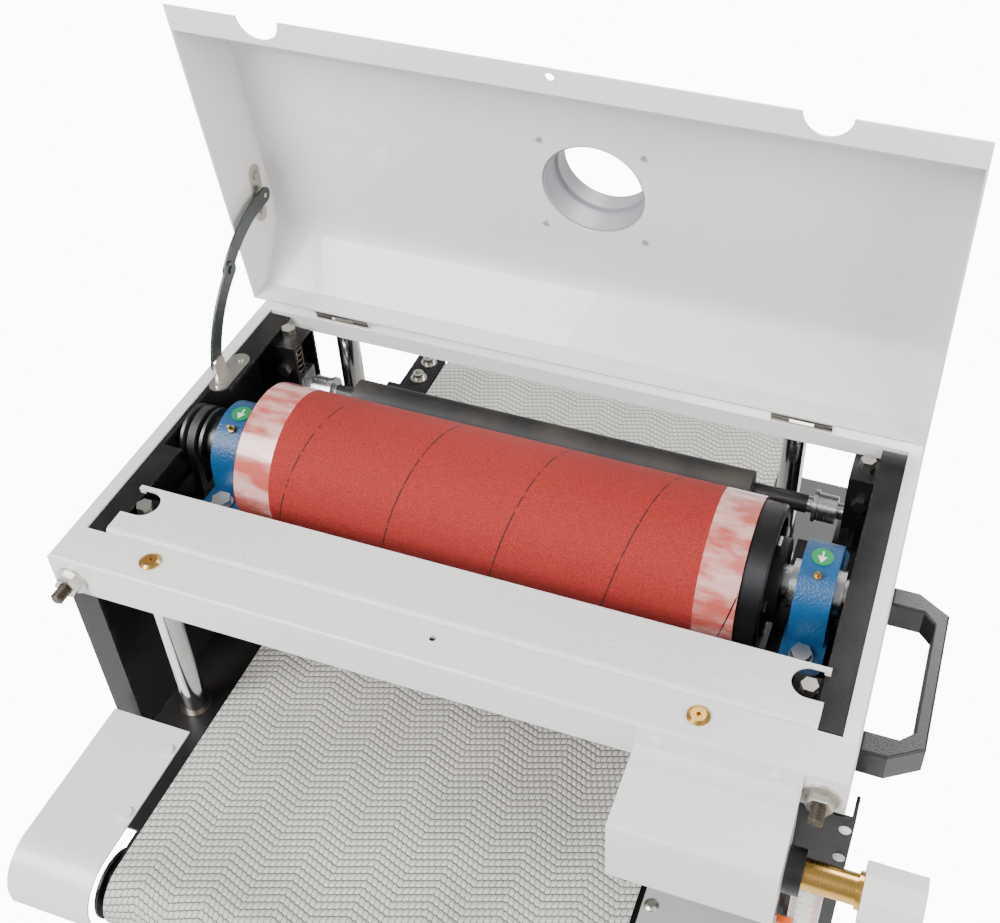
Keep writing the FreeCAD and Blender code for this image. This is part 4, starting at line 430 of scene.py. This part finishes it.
def make_materials():
    """Every finish by the name of its slot in the record."""
    steel = (0.30, 0.30, 0.30, 1)
    return {
        "white_paint": paint("White enamel", (0.80, 0.79, 0.78), 0.30, 0.5, steel, grain=0.0004, coat=0.3),
        "textured_white": paint("Textured white", (0.80, 0.79, 0.78), 0.38, 0.3, steel, grain=0.0012,
                                coat=0.2),
        "grey_paint": paint("Grey enamel", (0.36, 0.37, 0.38), 0.42, 0.5, steel),
        "black_paint": paint("Black enamel", (0.009, 0.009, 0.010), 0.34, 0.6, steel, dust=0.25,
                             gloss=0.2),
        "black_plastic": soft("Black plastic", (0.008, 0.008, 0.009), 0.38, dust=0.12),
        "chrome_steel": metal("Chrome", (0.80, 0.80, 0.82), 0.07, 0.00001),
        "bright_steel": metal("Turned steel", (0.60, 0.60, 0.61), 0.22),
        "zinc": metal("Zinc plate", (0.62, 0.60, 0.55), 0.26, 0.00006, 300.0),
        "dark_steel": metal("Stud steel", (0.13, 0.11, 0.09), 0.36),
        "stay_paint": paint("Stay enamel", (0.018, 0.028, 0.024), 0.35, 0.7, steel, dust=0.4),
        "brass": metal("Brass", (0.72, 0.43, 0.11), 0.20),
        "blue_paint": paint("Blue enamel", (0.004, 0.070, 0.19), 0.38, 0.5, steel, grain=0.0006, dust=0.15),
        "drum_black": metal("Black anodised", (0.035, 0.035, 0.038), 0.35),
        "pulley_iron": metal("Dark iron", (0.10, 0.10, 0.10), 0.40, 0.0001, 200.0),
        "abrasive": abrasive("Abrasive cloth"),
        "belt_rubber": soft("Black rubber", (0.016, 0.016, 0.017), 0.55, dust=1.0),
        "feed_belt": woven_belt("Woven belt"),
        "foot_rubber": soft("Foot rubber", (0.020, 0.020, 0.021), 0.60),
        "white_plastic": soft("White plastic", (0.78, 0.78, 0.74), 0.40, 0.0001, dust=0.3),
        "pipe_grey": paint("Pipe grey", (0.33, 0.34, 0.36), 0.40, 0.5, steel),
        "scale_white": soft("Scale strip", (0.80, 0.80, 0.76), 0.30, 0.00002, dust=0.1),
        "orange_plastic": soft("Orange plastic", (0.85, 0.13, 0.02), 0.35, 0.0001, dust=0.1),
        "green_plastic": soft("Green plastic", (0.02, 0.32, 0.06), 0.35, 0.0001, dust=0.2),
        "red_plastic": soft("Red plastic", (0.60, 0.015, 0.01), 0.35, 0.0001, dust=0.2),
    }


def dress(piece, material):
    piece.data.materials.clear()
    piece.data.materials.append(material)


class SANDER_OT_finishes(bpy.types.Operator):
    """Give every piece its procedural finish"""
    bl_idname = "sander.finishes"
    bl_label = "Apply finishes"

    def execute(self, context):
        for make_group in SHARED_GROUPS:
            make_group()
        finishes = make_materials()
        for part in frame["record"]["subparts"]:
            dress(frame["nodes"][part["node"]], finishes[part["material_slot"]])
        return {"FINISHED"}


# ---------------------------------------------------------------- added pieces
def mesh_piece(name, build, material, body):
    """A piece from a bmesh-filling function, riding on a body of the frame."""
    shape = bmesh.new()
    build(shape)
    data = bpy.data.meshes.new(name)
    shape.to_mesh(data)
    shape.free()
    made = bpy.data.objects.new(name, data)
    bpy.context.collection.objects.link(made)
    data.materials.append(bpy.data.materials[material])
    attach(made, body)
    return made


def block(shape, centre, size, turn=None):
    place = Matrix.Translation(centre) @ (turn or Matrix()) @ Matrix.Diagonal((*size, 1))
    bmesh.ops.create_cube(shape, size=1.0, matrix=place)


def disc(shape, centre, radius, height, turn=None, top=None, sides=32):
    bmesh.ops.create_cone(shape, cap_ends=True, segments=sides, radius1=radius,
                          radius2=radius if top is None else top, depth=height,
                          matrix=Matrix.Translation(centre) @ (turn or Matrix()))


def flat_ring(shape, centre, inner, outer, width, sides=64):
    """A flat ring about an axis along X."""
    rings = []
    for side, radius in ((-1, inner), (-1, outer), (1, outer), (1, inner)):
        turns = [math.tau * step / sides for step in range(sides)]
        rings.append([shape.verts.new((centre.x + side * width / 2, centre.y + radius * math.cos(turn),
                                       centre.z + radius * math.sin(turn))) for turn in turns])
    for first, second in zip(rings, rings[1:] + rings[:1]):
        for step in range(sides):
            after = (step + 1) % sides
            shape.faces.new((first[step], first[after], second[after], second[step]))
    bmesh.ops.recalc_face_normals(shape, faces=shape.faces)


def tube_piece(name, points, radius, material, body, closed=False, resolution=4):
    """A round bar along a line of points, as a mesh."""
    data = bpy.data.curves.new(name, "CURVE")
    data.dimensions = "3D"
    data.bevel_depth = radius
    data.bevel_resolution = resolution
    data.use_fill_caps = True
    line = data.splines.new("POLY")
    line.points.add(len(points) - 1)
    for spot, point in zip(line.points, points):
        spot.co = (*point, 1)
    line.use_cyclic_u = closed
    line.use_smooth = True
    guide = bpy.data.objects.new(f"{name}_guide", data)
    shape = bpy.data.meshes.new_from_object(guide)
    bpy.data.objects.remove(guide)
    bpy.data.curves.remove(data)
    made = bpy.data.objects.new(name, shape)
    bpy.context.collection.objects.link(made)
    shape.materials.clear()
    shape.materials.append(bpy.data.materials[material])
    for face in shape.polygons:
        face.use_smooth = True
    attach(made, body)
    return made


class SANDER_OT_springs(bpy.types.Operator):
    """Coil springs in place of the plain tubes over the pressure rollers"""
    bl_idname = "sander.springs"
    bl_label = "Add coil springs"

    def execute(self, context):
        settings = context.scene.sander_springs
        for side in ("front", "rear"):
            node = f"{side}_pressure_springs"
            low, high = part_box(node)
            radius = (high.y - low.y) / 2
            for end, x in (("left", low.x + radius), ("right", high.x - radius)):
                points = self.coil(Vector((x, (low.y + high.y) / 2, 0)), radius - settings.wire,
                                   low.z + settings.wire, high.z - settings.wire, settings.turns)
                spring = tube_piece(f"{side}_{end}_spring", points, settings.wire, "Stud steel",
                                    "stand", resolution=3)
                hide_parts(node)
                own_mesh(spring)
        return {"FINISHED"}

    @staticmethod
    def coil(centre, radius, low, high, turns):
        """Points of a spring whose first and last turns lie flat."""
        points = []
        count = turns * 24
        for step in range(count + 1):
            angle = step / 24 * math.tau
            share = min(max((step / count * turns - 0.8) / (turns - 1.6), 0), 1)
            offset = Vector((math.cos(angle) * radius, math.sin(angle) * radius, low + share * (high - low)))
            points.append(centre + offset)
        return points


class SANDER_OT_marks(bpy.types.Operator):
    """Graduation marks on the height scale and round stickers on the bearings"""
    bl_idname = "sander.marks"
    bl_label = "Add marks and stickers"

    def execute(self, context):
        settings = context.scene.sander_marks
        low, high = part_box("height_scale")
        ink, _, shader = new_material("Scale ink")
        shader.inputs["Base Color"].default_value = (0.01, 0.01, 0.01, 1)
        red, _, red_shader = new_material("Scale red")
        red_shader.inputs["Base Color"].default_value = (0.55, 0.02, 0.015, 1)
        count = int((high.z - low.z) / settings.step) - 1

        def marks(left):
            def build(shape):
                for step in range(1, count):
                    length = 0.010 if step % 10 == 0 else 0.0075 if step % 5 == 0 else 0.005
                    x = low.x + 0.001 + length / 2 if left else high.x - 0.001 - length / 2
                    block(shape, (x, low.y, low.z + step * settings.step), (length, 0.0003, 0.0004))
            return build
        mesh_piece("scale_marks_left", marks(True), ink.name, "stand")
        mesh_piece("scale_marks_right", marks(False), red.name, "stand")
        self.stickers(settings.sticker)
        return {"FINISHED"}

    def stickers(self, radius):
        """A green disc with a white arrow on top of each bearing, and its grease nipple."""
        green, _, shader = new_material("Sticker green")
        shader.inputs["Base Color"].default_value = (0.01, 0.24, 0.07, 1)
        shader.inputs["Roughness"].default_value = 0.3
        low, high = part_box("pillow_blocks")
        for side, x in (("left", low.x + 0.019), ("right", high.x - 0.019)):
            top = Vector((x, DRUM_AXIS.y, high.z))

            def sticker(shape):
                disc(shape, top + Vector((0, 0, 0.0002)), radius, 0.0008)

            def arrow(shape):
                block(shape, top + Vector((0, 0.0025, 0.0007)), (0.0016, 0.007, 0.0003))
                head = Matrix.Rotation(math.radians(180), 4, "Z")
                disc(shape, top + Vector((0, -0.0025, 0.0007)), 0.0048, 0.0003, head, sides=3)

            def nipple(shape):
                place = top + Vector((0, -0.019, -0.004))
                lean = Matrix.Rotation(math.radians(27), 4, "X")
                disc(shape, place, 0.0038, 0.006, lean, sides=6)
                disc(shape, place + lean @ Vector((0, 0, 0.006)), 0.0022, 0.008, lean, 0.0016)
            mesh_piece(f"{side}_sticker", sticker, green.name, "stand")
            mesh_piece(f"{side}_arrow", arrow, "White plastic", "stand")
            mesh_piece(f"{side}_grease_nipple", nipple, "Brass", "stand")


class SANDER_OT_studs(bpy.types.Operator):
    """Threaded studs in place of the plain ones, at the corners of the head"""
    bl_idname = "sander.studs"
    bl_label = "Add threaded studs"

    def execute(self, context):
        settings = context.scene.sander_studs
        low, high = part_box("corner_studs")
        radius = (high.z - low.z) / 2
        middle = (high.z + low.z) / 2
        length = 0.0385
        for side, x in (("left", low.x + radius), ("right", high.x - radius)):
            for end, y in (("front", low.y), ("rear", high.y - length)):
                def build(shape):
                    self.thread(shape, Vector((x, y, middle)), radius, length, settings.pitch)
                stud = mesh_piece(f"{end}_{side}_stud", build, "Stud steel", "stand")
                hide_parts("corner_studs")
        return {"FINISHED"}

    @staticmethod
    def thread(shape, start, radius, length, pitch):
        """A rod along Y with ridges; both ends are chamfered."""
        depth = pitch * 0.55
        profile = [(0.0, radius - depth * 1.6)]
        steps = int(length / pitch)
        for step in range(steps):
            profile.append(((step + 0.30) * pitch, radius - depth))
            profile.append(((step + 0.70) * pitch, radius))
        profile.append((length, radius - depth * 1.6))
        rings = []
        for along, reach in profile:
            ring = [shape.verts.new(start + Vector((math.cos(turn / 28 * math.tau) * reach, along,
                                                    math.sin(turn / 28 * math.tau) * reach)))
                    for turn in range(28)]
            rings.append(ring)
        for first, second in zip(rings, rings[1:]):
            for turn in range(28):
                after = (turn + 1) % 28
                shape.faces.new((first[turn], first[after], second[after], second[turn]))
        shape.faces.new(rings[0])
        shape.faces.new(list(reversed(rings[-1])))
        bmesh.ops.recalc_face_normals(shape, faces=shape.faces)


class SANDER_OT_trim(bpy.types.Operator):
    """Boss ring, screw caps, the left roller's guard and the black shaft sleeves"""
    bl_idname = "sander.trim"
    bl_label = "Add small trim"

    def execute(self, context):
        across = Matrix.Rotation(math.radians(90), 4, "Y")
        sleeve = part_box("feed_knob_sleeve")
        axis = Vector(((sleeve[0].x + sleeve[1].x) / 2, (sleeve[0].y + sleeve[1].y) / 2,
                       (sleeve[0].z + sleeve[1].z) / 2))
        boss_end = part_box("control_box")[1].x

        def boss(shape):
            disc(shape, (boss_end - 0.0066, axis.y, axis.z), 0.0180, 0.0134, across, sides=48)
            disc(shape, (boss_end + 0.0001, axis.y, axis.z), 0.0150, 0.0003, across, sides=48)
        mesh_piece("knob_boss_ring", boss, "Black plastic", "stand")

        def flange(shape):
            disc(shape, (sleeve[1].x - 0.002, axis.y, axis.z), 0.0145, 0.0036, across, sides=48)
        mesh_piece("sleeve_flange", flange, "Brass", "knob")
        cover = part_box("left_table_cover")
        for name, place in (("front", -0.302), ("rear", -0.234)):
            def cap(shape):
                disc(shape, (cover[1].x - 0.008, place, cover[1].z + 0.0014), 0.0073, 0.0030, None, 0.0055)
            mesh_piece(f"{name}_cover_screw_cap", cap, "White plastic", "table")
        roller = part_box("drive_roller")
        plate = Vector((BELT[0].x - GUARD_SETBACK, (roller[0].y + roller[1].y) / 2,
                        (roller[0].z + roller[1].z) / 2))

        def guard(shape):
            flat_ring(shape, plate, 0.016, 0.031, 0.0025)
        mesh_piece("left_roller_guard", guard, "Black enamel", "table")
        for side in ("front", "rear"):
            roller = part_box(f"{side}_pressure_roller")
            middle = (roller[0] + roller[1]) / 2

            def sleeves(shape):
                for low, high in ((roller[0].x - 0.024, roller[0].x - 0.0006),
                                  (roller[1].x + 0.0006, roller[1].x + 0.056)):
                    disc(shape, ((low + high) / 2, middle.y, middle.z), 0.0092, high - low, across)
            mesh_piece(f"{side}_shaft_sleeves", sleeves, "Black plastic", f"{side}_carriage")
        return {"FINISHED"}


def lid_point(x, y, z):
    """A point of the closed lid, given from its hinge, at the open lid's place."""
    return LID_HINGE + Matrix.Rotation(LID_ANGLE, 3, "X") @ Vector((x, y, z))


class SANDER_OT_welds(bpy.types.Operator):
    """Weld beads where the lid's side flanges meet its folded panel"""
    bl_idname = "sander.welds"
    bl_label = "Add weld beads"

    def execute(self, context):
        width = HEAD[1].x - HEAD[0].x
        random.seed(7)
        outline = [(-0.332, -0.004), (-0.280, 0.058), (-0.268, 0.0615), (-0.080, 0.0615), (-0.055, 0.056),
                   (-0.012, 0.016)]
        for side, x in (("left", -width / 2 + 0.0021), ("right", width / 2 - 0.0021)):
            points = []
            for (y0, z0), (y1, z1) in zip(outline, outline[1:]):
                steps = max(2, int(math.hypot(y1 - y0, z1 - z0) / 0.006))
                for step in range(steps):
                    share = step / steps
                    jitter = random.uniform(-0.0002, 0.0002)
                    points.append(lid_point(x, y0 + (y1 - y0) * share, z0 + (z1 - z0) * share + jitter))
            tube_piece(f"{side}_lid_weld", points, 0.0013, "White enamel", "lid")
        return {"FINISHED"}


class SANDER_OT_stage(bpy.types.Operator):
    """Pale floor, soft studio light and the camera"""
    bl_idname = "sander.stage"
    bl_label = "Set up the stage"

    def execute(self, context):
        settings = context.scene.sander_stage
        self.floor(settings)
        self.lights(settings)
        self.camera(settings.lens)
        return {"FINISHED"}

    def floor(self, settings):
        """A pale floor; the camera itself sees it as even white."""
        finish, nodes, shader = new_material("Studio floor")
        shader.inputs["Base Color"].default_value = (*settings.floor, 1)
        shader.inputs["Roughness"].default_value = 0.9
        glow = nodes.new("Emission", {"Color": (1, 1, 1, 1), "Strength": settings.backdrop})
        seen = nodes.new("LightPath").outputs["Is Camera Ray"]
        blend = nodes.new("MixShader", {0: seen, 1: shader.outputs[0], 2: glow.outputs[0]})
        nodes.feed(finish.node_tree.get_output_node("ALL").inputs[0], blend.outputs[0])
        shape = bmesh.new()
        bmesh.ops.create_grid(shape, x_segments=1, y_segments=1, size=12.0)
        data = bpy.data.meshes.new("floor")
        shape.to_mesh(data)
        shape.free()
        ground = bpy.data.objects.new("floor", data)
        ground.location.z = CAD_BOX[0].z - 0.0005
        bpy.context.collection.objects.link(ground)
        data.materials.append(finish)

    def lights(self, settings):
        world = bpy.data.worlds.new("Studio")
        bpy.context.scene.world = world
        world.use_nodes = True
        world.node_tree.nodes["Background"].inputs["Color"].default_value = (1, 1, 1, 1)
        nodes = Nodes(world.node_tree)
        seen = nodes.new("LightPath").outputs["Is Camera Ray"]
        strength = nodes.maths("ADD", settings.sky, nodes.maths("MULTIPLY", seen, settings.backdrop))
        nodes.feed(world.node_tree.nodes["Background"].inputs["Strength"], strength)
        aim = Vector((0, 0, HEAD_TOP))
        for name, place, size, power in (
                ("key", (-1.6, -2.2, 3.4), 1.8, settings.key),
                ("fill", (2.6, -1.2, 2.4), 2.2, settings.key * 0.45),
                ("rim", (0.4, 2.4, 3.2), 1.8, settings.key * 0.6)):
            data = bpy.data.lights.new(name, "AREA")
            data.size = size
            data.energy = power
            lamp = bpy.data.objects.new(name, data)
            lamp.location = place
            lamp.rotation_euler = (aim - Vector(place)).to_track_quat("-Z", "Y").to_euler()
            bpy.context.collection.objects.link(lamp)

    def camera(self, lens):
        """The camera stands 18 degrees to the right of the front, looking down at 41 degrees."""
        data = bpy.data.cameras.new("camera")
        data.sensor_width = 36
        data.lens = lens
        data.shift_x, data.shift_y = EYE_SHIFT
        eye = bpy.data.objects.new("camera", data)
        eye.location = EYE
        turn = Euler((math.pi / 2 - EYE_DOWN, 0, EYE_LEFT)).to_matrix().to_4x4()
        eye.rotation_euler = (turn @ Matrix.Rotation(EYE_ROLL, 4, "Z")).to_euler()
        data.clip_start = 0.01
        bpy.context.collection.objects.link(eye)
        bpy.context.scene.camera = eye


# ---------------------------------------------------------------- panel and registration
STEPS = (SANDER_OT_finishes, SANDER_OT_springs, SANDER_OT_studs, SANDER_OT_trim, SANDER_OT_marks,
         SANDER_OT_welds, SANDER_OT_stage)
SETTINGS = (("sander_finish", SANDER_PG_finish), ("sander_drum", SANDER_PG_drum),
            ("sander_belt", SANDER_PG_belt), ("sander_springs", SANDER_PG_springs),
            ("sander_studs", SANDER_PG_studs),
            ("sander_marks", SANDER_PG_marks), ("sander_stage", SANDER_PG_stage))


class SANDER_PT_panel(bpy.types.Panel):
    """Settings and steps of the drum sander"""
    bl_label = "Drum sander"
    bl_idname = "SANDER_PT_panel"
    bl_space_type = "VIEW_3D"
    bl_region_type = "UI"
    bl_category = "Drum sander"

    def draw(self, context):
        for name, kind in SETTINGS:
            part = self.layout.box()
            for setting in kind.__annotations__:
                part.prop(getattr(context.scene, name), setting)
        for step in STEPS:
            self.layout.operator(step.bl_idname)


def register():
    for name, kind in SETTINGS:
        bpy.utils.register_class(kind)
        setattr(bpy.types.Scene, name, PointerProperty(type=kind))
    for kind in (*STEPS, SANDER_PT_panel):
        bpy.utils.register_class(kind)


def unregister():
    for kind in (SANDER_PT_panel, *reversed(STEPS)):
        bpy.utils.unregister_class(kind)
    for name, kind in reversed(SETTINGS):
        delattr(bpy.types.Scene, name)
        bpy.utils.unregister_class(kind)


def main():
    register()
    for step in STEPS:
        area, name = step.bl_idname.split(".")
        getattr(getattr(bpy.ops, area), name)()


if __name__ == "__main__":
    main()
